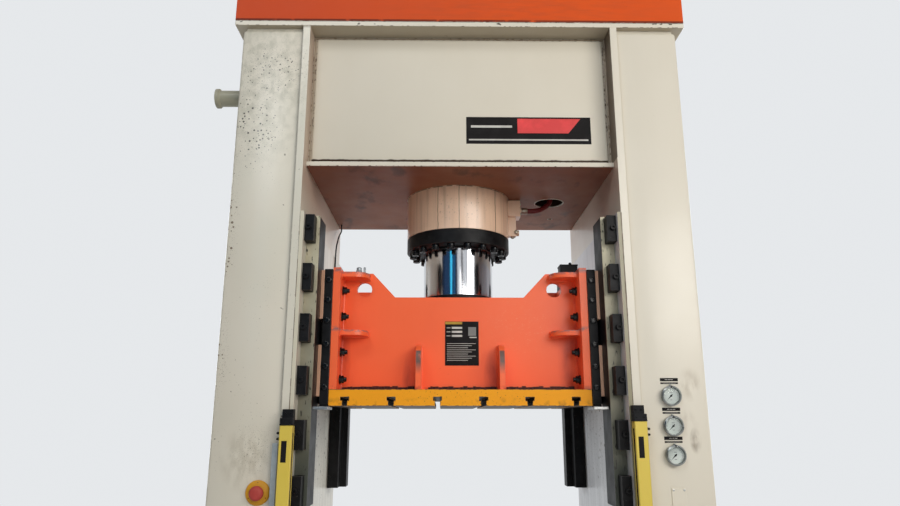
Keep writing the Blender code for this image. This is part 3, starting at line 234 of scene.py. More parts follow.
def moulded(name, base, rough=0.45, grain=600.0, shine=0.3):
    """Moulded plastic or rubber with a fine grain and a little dust."""
    f = Finish(name, rough, shine=shine)
    light = tuple(min(c * 1.4 + 0.006, 1.0) for c in base)
    f.colour(f.over(base, light, f.grain(12, 0.45, 0.8, 4)))
    f.rough(rough - 0.05, rough + 0.15, f.noise(30))
    return f.bump(f.noise(grain, 2), 0.2, 0.0003)


def dots(f, at, size, colour, scale, radius=0.30, dust=0.5):
    """A patch of round splashes of many sizes, thinning out towards its rim."""
    cells = f.node("ShaderNodeTexVoronoi", {"Vector": f.place, "Scale": scale}).outputs
    reach = f.both(cells["Color"], radius, f.spot(at, size))
    f.lay(colour, f.ramp(f.math("SUBTRACT", cells["Distance"], reach), 0.0, -0.03))
    f.lay(colour, f.grain(scale * 4, 0.63, 0.68, 1.5, shift=at[X]), f.spot(at, size), dust)


def smear_and_shade(f, at, size, colour, amount, stretch=(1, 1, 0.45)):
    """A wiped, greasy mark, or a patch of painted shade where a caller lays one."""
    f.lay(colour, f.grain(34, 0.40, 0.66, 4, stretch, at[Z]), f.spot(at, size), amount)


def beside_crown(f):
    """1 on a column's inner face, which the crown stands against."""
    return f.inside(X, INNER_FACE + 0.0015, CRISP)


def guide_side(f, side, face, edge):
    """The packing plate's ground face and front edge (the right edge's dark tone is painted shade), and a
    brown tint of painted bounce light from the orange slide under and beside the crown.
    """
    top = f.below(Z, PACKING_TOP + 0.003, 0.004)
    streaks = f.grain(30, 0.40, 0.62, 4, (1, 1, 0.06), 3.0)
    bare = f.over(face, tuple(c * 0.72 for c in face), streaks, 0.5)
    f.lay(bare, f.inside(X, PACKING_FACE + 0.0006, CRISP), top)
    dots(f, (side * PACKING_FACE, 0.0, 1.55), (0.05, 0.6, 0.60), (0.14, 0.11, 0.09), 30)
    # The front edge's tone comes from the caller; the right side's dark one is painted shade.
    front = (f.inside(X, INNER_FACE - 0.0008, CRISP), f.below(Y, -HALF_DEPTH + 0.0015, 0.001))
    f.lay(edge, *front, top)
    # Painted bounce light: a brown tint on the inner face under and beside the crown, for light thrown back
    # by the orange slide.
    brown = (beside_crown(f), f.climb(Z, 2.44, 2.62), f.inside(Y, HALF_DEPTH - 0.002, 0.002))
    f.lay((0.40, 0.27, 0.20), *brown, 0.7)


SOOT = (0.030, 0.024, 0.018)
PANEL_MARKS = -0.55


def left_marks(f):
    """A splashed top under a darker patch of painted shade, splashes down the outer edge and round the
    emergency stop, a dirty seam, and a rim of painted shade.
    """
    f.lay((0.60, 0.60, 0.50), f.grain(2.6, 0.40, 0.75, shift=2.0), 0.4)
    # Painted shade: a darker patch over the upper outer part of the column's front.
    smear_and_shade(f, (-0.89, PANEL_MARKS, 3.10), (0.26, 0.2, 0.50), (0.40, 0.385, 0.30), 0.6, (1, 1, 0.8))
    for x, z, size, colour, scale, radius, dust in (
        (-0.86, 3.14, (0.24, 0.2, 0.24), SOOT, 92, 0.48, 0.5),
        (-0.93, 2.86, (0.16, 0.2, 0.28), SOOT, 78, 0.40, 0.4),
        (-0.83, 1.46, (0.11, 0.1, 0.12), (0.16, 0.13, 0.09), 90, 0.40, 0.8),
        (-1.0, 1.86, (0.05, 0.1, 0.28), (0.22, 0.16, 0.10), 70, 0.45, 0.7),
        (-1.0, 2.40, (0.05, 0.1, 0.36), (0.20, 0.15, 0.10), 60, 0.42, 0.5),
    ):
        dots(f, (x, PANEL_MARKS, z), size, colour, scale, radius, dust)
    smear_and_shade(f, (-0.86, PANEL_MARKS, 1.43), (0.12, 0.1, 0.14), (0.42, 0.37, 0.28), 0.6)
    seam = (f.near(X, -0.7285, 0.0040), f.below(Y, -0.54, 0.01), f.grain(40, 0.25, 0.45, shift=2.0))
    f.lay((0.13, 0.105, 0.07), *seam, 0.85)
    # Painted shade, broken up by noise: the rim under the top plate and along the outer edge is darkened.
    rim = f.math("MAXIMUM", f.near(X, -1.010, 0.010), f.near(Z, TOP_LOW - 0.002, 0.012))
    f.lay((0.24, 0.20, 0.13), rim, f.below(Y, -0.545, 0.01), f.grain(30, 0.42, 0.56, 4, shift=6.0))
    guide_side(f, -1, (0.64, 0.61, 0.52), (0.62, 0.575, 0.45))


def right_marks(f):
    """Greasy marks beside the gauges, painted shade on the packing plate's front edge, and painted shade,
    nearly black, on the inner face between the crown and the column.
    """
    for x, z, size, colour, amount in (
        (0.944, 1.500, (0.026, 0.1, 0.055), (0.22, 0.17, 0.12), 0.9),
        (0.935, 1.725, (0.060, 0.1, 0.075), (0.46, 0.40, 0.31), 0.7),
        (0.915, 1.570, (0.050, 0.1, 0.060), (0.50, 0.44, 0.35), 0.6),
    ):
        smear_and_shade(f, (x, PANEL_MARKS, z), size, colour, amount)
    # The right packing plate's front edge gets a dark tone: painted shade, where the left one is pale.
    guide_side(f, 1, (0.66, 0.655, 0.66), (0.26, 0.23, 0.14))
    # Painted shade: the inner face beside the crown's front is darkened nearly to black.
    shaded_gap = (beside_crown(f), f.below(Y, -0.474, 0.003), f.climb(Z, CROWN_LIP, CROWN_LIP + 0.004))
    f.lay((0.085, 0.055, 0.03), *shaded_gap, 0.92)


def crown_marks(f):
    """Brown oil stain on the underside with painted shade and orange bounce light, brown shade in the gaps
    beside and above the panel, a dark band along the panel's foot, and painted shade in the crown's hollows.
    """
    # Oil stain with painted light: the underside is painted reddish brown for the orange slide's bounce
    # light, and darker towards the front for shade.
    underside_stain_and_shade = f.over((0.31, 0.132, 0.068), (0.20, 0.074, 0.035), f.grain(3.2, 0.35, 0.7, 5))
    underside_stain_and_shade = f.over(underside_stain_and_shade, (0.17, 0.050, 0.026), f.below(Y, -0.05, 0.7), 0.5)
    underside_stain_and_shade = f.over(underside_stain_and_shade, (0.05, 0.025, 0.016), f.grain(11, 0.58, 0.70, 5, (1, 0.5, 1), 4.0), 0.6)
    f.lay(underside_stain_and_shade, f.below(Z, CROWN_LOW + 0.0025, 0.003))
    beside = f.ramp(f.math("ABSOLUTE", f.parts[X]), 0.676, 0.692)
    shaded_gap = f.math("MAXIMUM", beside, f.climb(Z, TOP_LOW - 0.022, TOP_LOW - 0.010))
    above = f.climb(Z, CROWN_LIP + 0.004, CROWN_LIP + 0.010)
    f.lay((0.20, 0.13, 0.07), shaded_gap, 0.8, above)
    # A dark band with an uneven upper edge along the panel's foot, just above the lip.
    lip = f.math("ADD", f.parts[Z], f.math("MULTIPLY", f.noise(26, shift=1.0), 0.010))
    seam = (f.ramp(lip, CROWN_LIP + 0.0280, CROWN_LIP + 0.0235),
            f.climb(Z, CROWN_LIP + 0.0002, CROWN_LIP + 0.0006), f.below(Y, -0.47, 0.01))
    f.lay((0.045, 0.028, 0.018), *seam)
    # Painted shade: the crown's inner walls inside its holes are darkened nearly to black.
    floor_level = f.climb(Z, CROWN_LOW + 0.0045, CROWN_LOW + 0.007)
    shaded_hollow = (f.inside(X, 0.64, 0.001), f.inside(Y, 0.449, 0.001), floor_level)
    f.lay((0.030, 0.018, 0.012), *shaded_hollow, f.below(Z, TOP_LOW - 0.03, 0.002))


def barrel_marks(f):
    """Drips and three thin upright cracks in front, on cream paint painted tan for warm bounce light."""
    front = f.below(Y, -0.08, 0.02)
    f.lay((0.33, 0.21, 0.13), f.grain(46, 0.50, 0.72, 4, (1, 1, 0.05)), 0.4, front)
    wander = f.both(f.math("SUBTRACT", f.noise(22, 2, (0.1, 0.1, 1)), 0.5), 0.006)
    for x in (-0.1025, 0.0, 0.180):
        away = f.math("ABSOLUTE", f.math("SUBTRACT", f.math("ADD", f.parts[X], wander), x))
        f.lay((0.07, 0.04, 0.025), f.ramp(away, 0.0018, 0.0006), front)
    f.lay((0.06, 0.03, 0.02), f.near(Z, CROWN_LOW - 0.0015, 0.004), f.grain(40, 0.4, 0.5, 2))
    dots(f, (0.02, -0.25, 2.58), (0.30, 0.2, 0.12), (0.10, 0.06, 0.04), 95, 0.26, 0.3)


def top_marks(f):
    """Brown painted shade under the overhang, a dirty joint over the front edge and chips along it."""
    # Painted shade: the top plate's underside is painted brown in cloudy patches.
    cloudy = f.mix(f.noise(7, 4), (0.75, 0.75, 0.75), (1, 1, 1))
    f.lay((0.37, 0.31, 0.22), f.below(Z, TOP_LOW + 0.0012, 0.001), cloudy)
    front = f.below(Y, -HALF_DEPTH + 0.004, 0.004)
    f.lay((0.05, 0.035, 0.02), f.grain(17, 0.64, 0.66, 4, (1, 1, 1.6), 1.5), front)
    joint = f.climb(Z, PLATFORM - 0.0055, PLATFORM - 0.0035)
    f.lay((0.06, 0.03, 0.015), joint, front, f.grain(20, 0.30, 0.42), 0.9)


def yellow_marks(f):
    """Soot along the lower edge, with painted shade on the underside and in the slots."""
    soot = f.grain(26, 0.54, 0.68, 4, shift=6.0)
    f.lay((0.16, 0.075, 0.014), soot, f.below(Z, SLIDE_LOW + 0.024, 0.03), 0.6)
    dots(f, (0.0, -0.39, 1.675), (0.66, 0.1, 0.06), (0.11, 0.05, 0.012), 80, 0.20, 0.2)
    # Painted shade: the plate's underside is darkened nearly to black.
    f.lay((0.045, 0.025, 0.010), f.below(Z, SLIDE_LOW + 0.0003, 0.0004))
    # The slots' insides are bare steel, painted near-black with painted shade.
    away = f.math("SUBTRACT", SLOT_PITCH / 2, f.math("PINGPONG", f.parts[X], SLOT_PITCH / 2))
    slot = (f.ramp(away, 0.0192, 0.0186), f.below(Z, SLIDE_LOW + 0.0385, 0.0004))
    f.lay((0.012, 0.008, 0.005), *slot, f.inside(Y, 0.3888, 0.0008))


def orange_marks(f):
    """Scuffs on the gussets' edges, painted glare on the ribs' upper fronts, dark red painted shade beside
    the ribs and side plates, a dark foot and pale specks.
    """
    ribs = f.math("ABSOLUTE", f.math("SUBTRACT", f.math("ABSOLUTE", f.parts[X]), RIB_AT))
    # Painted reflection: a grey-brown glare over the upper part of the ribs' fronts.
    rib_glare = f.both(f.climb(Z, 1.775, 1.830), f.grain(30, 0.28, 0.40))
    edges = (f.ramp(ribs, 0.0125, 0.0095), f.below(Y, -GUSSET_FRONT - 0.001, 0.004))
    f.lay((0.15, 0.085, 0.070), *edges, rib_glare)
    for top in reversed(GUSSET_TOPS):
        scuff = (f.near(Z, top, 0.014), f.grain(60, 0.40, 0.50, stretch=(1, 1, 2)))
        f.lay((0.24, 0.13, 0.13), *scuff, 0.9, f.below(Y, -0.27, 0.02))
    # Painted shade: dark red streaks beside the ribs and in the corners at the side plates.
    painted_shade_streaks = f.grain(16, 0.25, 0.60, 4, (1, 1, 0.35), 9.0)
    for x, z, size in ((-0.222, 1.765, (0.042, 0.05, 0.13)), (0.148, 1.765, (0.042, 0.05, 0.13)),
                       (0.525, 1.84, (0.080, 0.12, 0.26)), (-0.530, 1.84, (0.035, 0.12, 0.20))):
        f.lay((0.42, 0.040, 0.018), painted_shade_streaks, f.spot((x, -PLATE_FACE, z), size), 0.75)
    foot = (f.below(Z, SLIDE_BASE + 0.012, 0.012), f.grain(45, 0.42, 0.6, 4))
    f.lay((0.20, 0.045, 0.025), *foot, 0.6)
    dots(f, (-0.40, -0.37, 2.2), (0.25, 0.2, 0.16), (0.20, 0.04, 0.025), 50, 0.22, 0.1)
    dots(f, (0.28, -0.255, 2.0), (0.30, 0.2, 0.22), (0.98, 0.36, 0.20), 120, 0.35, 0.5)


def fascia_marks(f):
    """A left half darkened by painted shade, a dark line along the lower edge and faint wipe marks."""
    # Painted shade: the fascia darkens towards the left, away from the light.
    f.lay((0.56, 0.070, 0.022), f.climb(X, 0.5, -0.8), 0.8)
    f.lay((0.075, 0.012, 0.006), f.below(Z, 3.3945, 0.003), f.grain(25, 0.25, 0.4), 0.85)
    smear_and_shade(f, (0.3, -0.57, 3.45), (0.9, 0.1, 0.10), (0.50, 0.075, 0.02), 0.5, (0.25, 1, 1.5))


def rail_fade(f):
    """Pale at the top, darker towards the bottom."""
    lower_dark = f.ramp(f.math("ADD", f.parts[Z], f.math("MULTIPLY", f.noise(5), 0.35)), 2.45, 1.55)
    f.lay((0.060, 0.066, 0.050), lower_dark)
    f.lay((0.035, 0.032, 0.026), f.grain(75, 0.60, 0.68, stretch=(1, 1, 0.35), shift=8.0))


# The cream paint's base, dust and chips
CREAM = ((0.70, 0.655, 0.555), (0.61, 0.555, 0.445), (0.14, 0.11, 0.075))
M = {}
for key, made in {
    "cream": painted("cream_paint", *CREAM, streaks=0.2),
    "cream_left": painted("cream_paint_left", *CREAM, coat=0.35, streaks=0.2, marks=left_marks),
    "cream_right": painted("cream_paint_right", *CREAM, 0.42, 0.76, 0.79, 0.35, 0.15, right_marks),
    "cream_crown": painted("cream_paint_crown", *CREAM, 0.44, 0.82, 0.85, 0.0, 0.1, crown_marks, 0.2),
    "cream_top": painted("cream_paint_top", *CREAM, marks=top_marks),
    # The barrel's and port block's cream paint painted tan: painted bounce light from the orange slide under
    # the crown.
    "tan": painted("barrel_paint_bounce_tint", (0.83, 0.58, 0.41), (0.70, 0.46, 0.31), SOOT, 0.30, 0.8, 0.8, 0.5,
                   marks=barrel_marks),
    "cream_edge": worn("cream_paint_edge", (0.68, 0.63, 0.53), (0.15, 0.115, 0.08), 0.30),
    "orange": painted("orange_paint", (0.97, 0.150, 0.046), (0.88, 0.120, 0.036), (0.24, 0.05, 0.03), 0.34,
                      0.74, 0.77, marks=orange_marks, shine=0.3),
    "orange_edge": worn("orange_paint_edge", (0.86, 0.16, 0.07), (0.30, 0.13, 0.09), 0.40),
    "fascia": painted("fascia_orange", (0.69, 0.088, 0.010), (0.61, 0.072, 0.009), (0.16, 0.04, 0.02), 0.62,
                      0.75, 0.80, 0.0, marks=fascia_marks, shine=0.2),
    "yellow": painted("yellow_paint", (0.92, 0.37, 0.010), (0.82, 0.31, 0.010), (0.10, 0.05, 0.02), 0.45,
                      0.74, 0.76, 0.05, marks=yellow_marks, shine=0.2),
    "yellow_edge": worn("yellow_paint_edge", (0.78, 0.33, 0.02), (0.14, 0.07, 0.03), 0.5),
    "curtain": painted("curtain_yellow", (0.70, 0.53, 0.075), (0.60, 0.45, 0.065), (0.20, 0.15, 0.05), 0.35,
                       0.78, 0.82),
    "weld": metal("weld_bead", (0.085, 0.026, 0.022), (0.018, 0.007, 0.007), 0.40, 0.0, 90, shine=0.15),
    "black": metal("black_oxide", (0.004, 0.004, 0.0045), (0.013, 0.013, 0.014), 0.42, 0.0, 22,
                   specks=(0.70, (0.06, 0.055, 0.05)), shine=0.12),
    "black_edge": metal("black_oxide_edge", (0.008, 0.008, 0.008), (0.060, 0.057, 0.054), 0.36, 0.0, 60,
                        shine=0.2),
    "screw": metal("oiled_screw", (0.003, 0.003, 0.0035), (0.010, 0.010, 0.011), 0.22, 0.0, 80, shine=0.25),
    "seam": metal("joint_dirt", (0.10, 0.075, 0.05), (0.20, 0.155, 0.11), 0.7, 0.0, 40),
    "khaki": metal("packing_steel", (0.52, 0.48, 0.35), (0.44, 0.40, 0.28), 0.5, 0.2, 18, marks=rail_fade),
    "bronze": metal("bronze", (0.78, 0.47, 0.32), (0.60, 0.33, 0.21), 0.36, 0.5, 26, (1, 1, 0.1)),
    "chrome": metal("chrome", (0.64, 0.65, 0.67), (0.56, 0.57, 0.60), 0.05, 1.0, 16, (1, 1, 0.05)),
    "steel": metal("steel", (0.50, 0.50, 0.49), (0.36, 0.36, 0.35), 0.34, 1.0, 34),
    "fitting": metal("zinc_fitting", (0.46, 0.42, 0.34), (0.30, 0.26, 0.20), 0.38, 0.8, 60),
    "bolster": metal("bolster_steel", (0.42, 0.42, 0.41), (0.27, 0.26, 0.25), 0.38, 0.9, 9, (1, 0.1, 1),
                     (0.72, (0.16, 0.10, 0.06))),
    "alloy": metal("grey_alloy", (0.42, 0.46, 0.48), (0.33, 0.37, 0.39), 0.48, 0.5, 40),
    "red": moulded("red_plastic", (0.40, 0.05, 0.04), 0.5),
    "amber": moulded("amber_plastic", (0.60, 0.28, 0.014)),
    "plastic": moulded("black_plastic", (0.008, 0.008, 0.009), 0.42, shine=0.12),
    "hose": moulded("hose_rubber", (0.14, 0.012, 0.012), 0.4, 350.0),
    "blue": painted("motor_blue", (0.035, 0.10, 0.27), (0.03, 0.075, 0.19), (0.25, 0.25, 0.25), 0.4,
                    0.72, 0.78),
    "label": moulded("black_label", (0.007, 0.006, 0.006), 0.45, 900.0, 0.10),
    "lens": moulded("curtain_lens", (0.020, 0.006, 0.006), 0.12, 900.0),
    "plate_red": moulded("red_field", (0.66, 0.050, 0.050), 0.3, 900.0),
    "print": moulded("dark_print", (0.03, 0.03, 0.035), 0.5, 900.0),
    "print_pale": moulded("pale_print", (0.50, 0.49, 0.45), 0.4, 900.0),
    "print_grey": moulded("grey_print", (0.20, 0.20, 0.19), 0.4, 900.0),
    "print_ochre": moulded("ochre_print", (0.42, 0.26, 0.03), 0.4, 900.0),
    "dial": moulded("dial_face", (0.48, 0.50, 0.46), 0.5, 900.0),
    "bezel": metal("gauge_bezel", (0.34, 0.35, 0.34), (0.22, 0.23, 0.22), 0.30, 1.0, 60),
    "stub": painted("stub_paint", (0.34, 0.325, 0.24), (0.25, 0.235, 0.165), CREAM[2], 0.5),
}.items():
    M[key] = made.material

glass = Finish("gauge_glass", 0.04)
glass.shader.inputs["Transmission Weight"].default_value = 1.0
glass.shader.inputs["IOR"].default_value = 1.2
glass.colour(glass.over((0.97, 0.98, 0.98), (0.90, 0.93, 0.93), glass.grain(20, 0.4, 0.8)))
M["glass"] = glass.material


def add(name, data):
    """A new object in the scene; a bmesh becomes its mesh."""
    if isinstance(data, bmesh.types.BMesh):
        drawn, data = data, bpy.data.meshes.new(name)
        drawn.to_mesh(data)
        drawn.free()
    obj = bpy.data.objects.new(name, data)
    bpy.context.scene.collection.objects.link(obj)
    return obj


def settle(obj, look, body, edge=None):
    """Gives a piece its materials, slot and body, and smooth shading with sharp edges kept."""
    obj.data.materials.append(M[look])
    if edge:
        obj.data.materials.append(M[edge])
    obj.data.shade_smooth()
    obj.data.set_sharp_from_angle(angle=SHARP)
    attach(obj, body)


def round_edges(obj, width, material=-1):
    bevel = obj.modifiers.new("edges", "BEVEL")
    bevel.width = width
    bevel.segments = 2
    bevel.limit_method = "ANGLE"
    bevel.angle_limit = ROUNDED
    bevel.material = material
    bevel.harden_normals = True


def make(name, look, body, fill, edge=0.0):
    """A piece drawn by fill into a bmesh, its sharp edges rounded by edge."""
    mesh = bmesh.new()
    fill(mesh)
    bmesh.ops.recalc_face_normals(mesh, faces=mesh.faces)
    obj = add(name, mesh)
    settle(obj, look, body)
    if edge:
        round_edges(obj, edge)


def dress(node, look, edge, width):
    """A finer copy of a node: its triangles joined into flat faces, its edges rounded and worn."""
    mesh = bmesh.new()
    mesh.from_mesh(frame["nodes"][node].data)
    bmesh.ops.remove_doubles(mesh, verts=mesh.verts, dist=MERGE)
    bmesh.ops.dissolve_limit(mesh, angle_limit=FLAT, verts=mesh.verts, edges=mesh.edges)
    obj = add(node + "_dressed", mesh)
    body = next(name for name, nodes in BODIES.items() if node in nodes)
    settle(obj, look, body, edge)
    if width:
        round_edges(obj, width, 1 if edge else -1)
    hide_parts(node)


def box(mesh, x, y, z):
    """A plain box from its spans along the axes."""
    size = Matrix.Diagonal((abs(x[1] - x[0]), abs(y[1] - y[0]), abs(z[1] - z[0]), 1))
    middle = Matrix.Translation((sum(x) / 2, sum(y) / 2, sum(z) / 2))
    bmesh.ops.create_cube(mesh, size=1, matrix=middle @ size)


def boxes(*spans):
    """A fill that draws plain boxes, each given by its spans along x, y and z."""
    return lambda mesh: [box(mesh, *span) for span in spans]


def lathe(mesh, foot, out, rings, sides=24):
    """Lofts rings of (height, radius), or (height, radius, True) for a hexagon, along a direction."""
    foot, out = Vector(foot), Vector(out).normalized()
    side = out.orthogonal().normalized()
    up = out.cross(side)
    rows = []
    for ring in rings:
        row = []
        for i in range(sides):
            a = 2 * math.pi * i / sides
            r = ring[1]
            if len(ring) > 2:
                r *= math.cos(math.pi / 6) / math.cos(a % (math.pi / 3) - math.pi / 6)
            row.append(mesh.verts.new(foot + out * ring[0] + (side * math.cos(a) + up * math.sin(a)) * r))
        rows.append(row)
    for low, high in zip(rows, rows[1:]):
        for i in range(sides):
            j = (i + 1) % sides
            mesh.faces.new((low[i], low[j], high[j], high[i]))
    mesh.faces.new(rows[0][::-1])
    mesh.faces.new(rows[-1])


def circle(count, start=0.0):
    """The cosine and sine of equal steps round a circle, the first one a share of a step on."""
    turns = [2 * math.pi * (i + start) / count for i in range(count)]
    return [(math.cos(a), math.sin(a)) for a in turns]


def cap_screw(mesh, foot, out, radius, height):
    """A socket head cap screw, its foot sunk a little into what it stands on."""
    head = [(-0.002, radius), (height * 0.88, radius), (height, radius * 0.88)]
    lathe(mesh, foot, out, head + [(height, radius * 0.56, True), (height * 0.35, radius * 0.54, True)])


def hex_bolt(mesh, foot, out, radius, height, washer=1.25):
    """A hexagon head or nut with a washer under it."""
    rings = [(-0.002, radius * washer), (height * 0.22, radius * washer), (height * 0.22, radius, True)]
    lathe(mesh, foot, out, rings + [(height * 0.9, radius, True), (height, radius * 0.84)])


def bead(mesh, start, end):
    """A rippled weld bead between two points."""
    start, end = Vector(start), Vector(end)
    length = (end - start).length
    count = max(int(length / BEAD_PITCH), 2) * 2
    rings = [(0.0, BEAD_RADIUS * 0.5)]
    for i in range(count):
        ripple = 0.92 + 0.12 * (i % 2) + dice.uniform(-0.05, 0.05)
        rings.append((length * (i + 0.5) / count, BEAD_RADIUS * ripple))
    lathe(mesh, start, end - start, rings + [(length, BEAD_RADIUS * 0.5)], 8)


# Camera at the photograph's place: a wide lens, close, looking up at the press
camera = add("camera", bpy.data.cameras.new("camera"))
camera.data.sensor_width = 36.0
camera.data.lens = 27.04
camera.data.clip_start = 0.05
camera.location = (-0.083, -3.37, 1.58)
camera.rotation_euler = (math.radians(90 + 13.9), 0, math.radians(-0.715))
bpy.context.scene.camera = camera
bpy.context.scene.view_settings.view_transform = "Standard"

# Height the lamps look at, tones of the background and of the light it gives, sizes of floor and cloths
AIM = 2.3
BACKDROP, AMBIENT = (0.79, 0.81, 0.83), (0.130, 0.118, 0.115)
FLOOR_HALF, FLOOR_GLOW, CLOTH_TOP = 9, 0.62, 7.0


def in_front(turn, far, z):
    """A place round the front of the studio, by its angle right of the camera."""
    return (far * math.sin(math.radians(turn)), -far * math.cos(math.radians(turn)), z)


def lamp(name, place, aim, wide, tall, power, colour):
    """A rectangular area lamp that looks at a height on the press's middle line."""
    light = bpy.data.lights.new(name, "AREA")
    light.shape = "RECTANGLE"
    light.size = wide
    light.size_y = tall
    light.energy = power
    light.color = colour
    obj = add(name, light)
    obj.location = place
    obj.rotation_euler = (Vector((0, 0, aim)) - Vector(place)).to_track_quat("-Z", "Y").to_euler()


def shown(tree, rays):
    """1 for rays that show the background to the camera, also by metal and glass; 0 for rays that light."""
    seen = rays.outputs["Is Camera Ray"]
    for ray in ("Is Glossy Ray", "Is Transmission Ray"):
        either = tree.nodes.new("ShaderNodeMath")
        either.operation = "MAXIMUM"
        tree.links.new(seen, either.inputs[0])
        tree.links.new(rays.outputs[ray], either.inputs[1])
        seen = either.outputs[0]
    return seen


world = bpy.data.worlds.new("studio")
bpy.context.scene.world = world
world.use_nodes = True
sky = world.node_tree
tint = sky.nodes.new("ShaderNodeMix")
tint.data_type = "RGBA"
tint.inputs[6].default_value = (*AMBIENT, 1)
tint.inputs[7].default_value = (*BACKDROP, 1)
sky.links.new(shown(sky, sky.nodes.new("ShaderNodeLightPath")), tint.inputs[0])
sky.links.new(tint.outputs[2], sky.nodes["Background"].inputs["Color"])

for name, place, aim, wide, tall, power, colour in (
    ("fill", (-2.4, -6.2, 7.4), AIM, 2.6, 2.6, 138, (0.97, 0.99, 1)),
    ("low_fill", (0.8, -6.0, 0.5), 1.6, 1.6, 1.6, 10, (1, 0.96, 0.9)),
    ("window_left", (-5.0, 3.5, 3.0), 2.2, 2.0, 4.0, 170, (0.9, 0.95, 1)),
    ("window_right", (5.0, 3.5, 3.0), 2.2, 2.0, 4.0, 240, (0.93, 0.96, 1)),
):
    lamp(name, place, aim, wide, tall, power, colour)

# Tall lamps round the front, by angle and distance: polished metal shows them as stripes
for name, turn, far, wide, tall, power, colour in (
    ("key", 31.5, 7.3, 5.0, 2.4, 275, (1, 0.965, 0.91)),
    ("stripe_white", 7, 5.0, 0.5, 2.6, 9, (1, 1, 1)),
    ("stripe_slate", -3, 5.0, 0.5, 2.6, 0.25, (0.35, 0.55, 1)),
    ("stripe_dark_blue", -13.5, 5.0, 0.6, 2.6, 0.9, (0.02, 0.42, 1.0)),
    ("stripe_cyan", -23.5, 5.0, 0.6, 2.6, 6.5, (0.05, 0.62, 1.0)),
    ("stripe_navy", -38, 5.0, 1.5, 2.6, 0.9, (0.14, 0.42, 1.0)),
):
    lamp(name, in_front(turn, far, AIM + 0.22 * far), AIM, wide, tall, power, colour)

floor_mesh = bpy.data.meshes.new("floor")
corners = [(x * FLOOR_HALF, y * FLOOR_HALF, 0) for x, y in ((-1, -1), (1, -1), (1, 1), (-1, 1))]
floor_mesh.from_pydata(corners, [], [(0, 1, 2, 3)])
floor = add("floor", floor_mesh)
concrete = Finish("pale_floor", 0.9, shine=0.1)
concrete.colour(concrete.over((0.72, 0.72, 0.71), (0.66, 0.66, 0.65), concrete.grain(0.6, 0.3, 0.8, 4)))
pale = concrete.node("ShaderNodeEmission", {"Color": BACKDROP}).outputs[0]
share = concrete.both(shown(concrete.tree, concrete.node("ShaderNodeLightPath")), FLOOR_GLOW)
blend = concrete.node("ShaderNodeMixShader", {0: share, 1: concrete.shader.outputs[0], 2: pale})
concrete.feed(concrete.tree.nodes["Material Output"].inputs["Surface"], blend.outputs[0])
floor_mesh.materials.append(concrete.material)


def dark_curtain(name, turns, far, tone):
    """A dark cloth round the front of the studio, from one angle to another: only reflections show it."""
    mesh = bmesh.new()
    rows = []
    for i in range(9):
        turn = turns[0] + (turns[1] - turns[0]) * i / 8
        rows.append([mesh.verts.new(in_front(turn, far, z)) for z in (0.0, CLOTH_TOP)])
    for one, two in zip(rows, rows[1:]):
        mesh.faces.new((one[0], two[0], two[1], one[1]))
    obj = add(name, mesh)
    cloth = Finish(name, 0.9, shine=0.0)
    cloth.colour((0, 0, 0))
    shade = cloth.over(tone, tuple(c * 0.6 for c in tone), cloth.grain(3, 0.3, 0.7, stretch=(1, 1, 0.1)))
    cloth.feed(cloth.shader.inputs["Emission Color"], shade)
    cloth.shader.inputs["Emission Strength"].default_value = 1.0
    obj.data.materials.append(cloth.material)
    for ray in ("camera", "diffuse", "transmission", "volume_scatter", "shadow"):
        setattr(obj, "visible_" + ray, False)


dark_curtain("curtain_blue", (-62, -3.2), 8.0, (0.020, 0.036, 0.075))
dark_curtain("curtain_thin", (8.0, 15.0), 8.0, (0.20, 0.20, 0.21))

# Every node of the frame, dressed: look, look of its edges, width of their rounding
DRESSED = {
    "left_column": ("cream_left", "cream_edge", 0.0025),
    "right_column": ("cream_right", "cream_edge", 0.0025),
    "base_plate_left": ("cream", "cream_edge", 0.0004), "base_plate_right": ("cream", "cream_edge", 0.0004),
    "crown": ("cream_crown", "cream_edge", 0.0025), "top_plate": ("cream_top", "cream_edge", 0.002),
    "bed": ("cream", "cream_edge", 0.003), "cylinder_barrel": ("tan", None, 0.002),
    "port_block": ("tan", None, 0.002), "cover_plate": ("cream", None, 0.0008),
    "side_stub": ("stub", None, 0.0012), "oil_tank": ("cream", "cream_edge", 0.003),
    "fascia": ("fascia", None, 0.0012), "bolster": ("bolster", None, 0.0015),
    "gland_ring": ("black", "black_edge", 0.0012),
    "packing_strip_left": ("khaki", None, 0.0006), "packing_strip_right": ("khaki", None, 0.0006),
    "curtain_body_left": ("curtain", None, 0.001), "curtain_body_right": ("curtain", None, 0.001),
    "estop_collar": ("amber", None, 0.0006), "port_hose": ("hose", None, 0), "lube_line": ("black", None, 0),
    "pump_motor": ("blue", None, 0.0015), "pump": ("alloy", None, 0.0015),
    "valve_manifold": ("steel", None, 0.002), "suction_pipe": ("steel", None, 0),
    "pressure_pipe": ("steel", None, 0), "slide_frame": ("orange", "orange_edge", 0.0025),
    "slide_plate": ("yellow", "yellow_edge", 0.002), "piston_rod": ("chrome", None, 0),
    "rod_collar": ("black", "black_edge", 0.0015), "junction_box": ("plastic", None, 0.0015),
    "estop_button": ("red", None, 0.0008),
}
for word in GAUGE_WORDS:
    DRESSED[f"gauge_case_{word}"] = ("bezel", None, 0.0006)
    DRESSED[f"gauge_needle_{word}"] = ("label", None, 0)
for side in SIDE_WORDS:
    for word in ("top", "bottom"):
        DRESSED[f"curtain_cap_{word}_{side}"] = ("plastic", None, 0.0015)
    for end in END_WORDS:
        DRESSED[f"guide_rail_{end}_{side}"] = ("black", "black_edge", 0.0015)
        DRESSED[f"shoe_{end}_{side}"] = ("black", "black_edge", 0.0015)
        for word in ("lower", "upper"):
            DRESSED[f"liner_{end}_{side}_{word}"] = ("bronze", None, 0.001)
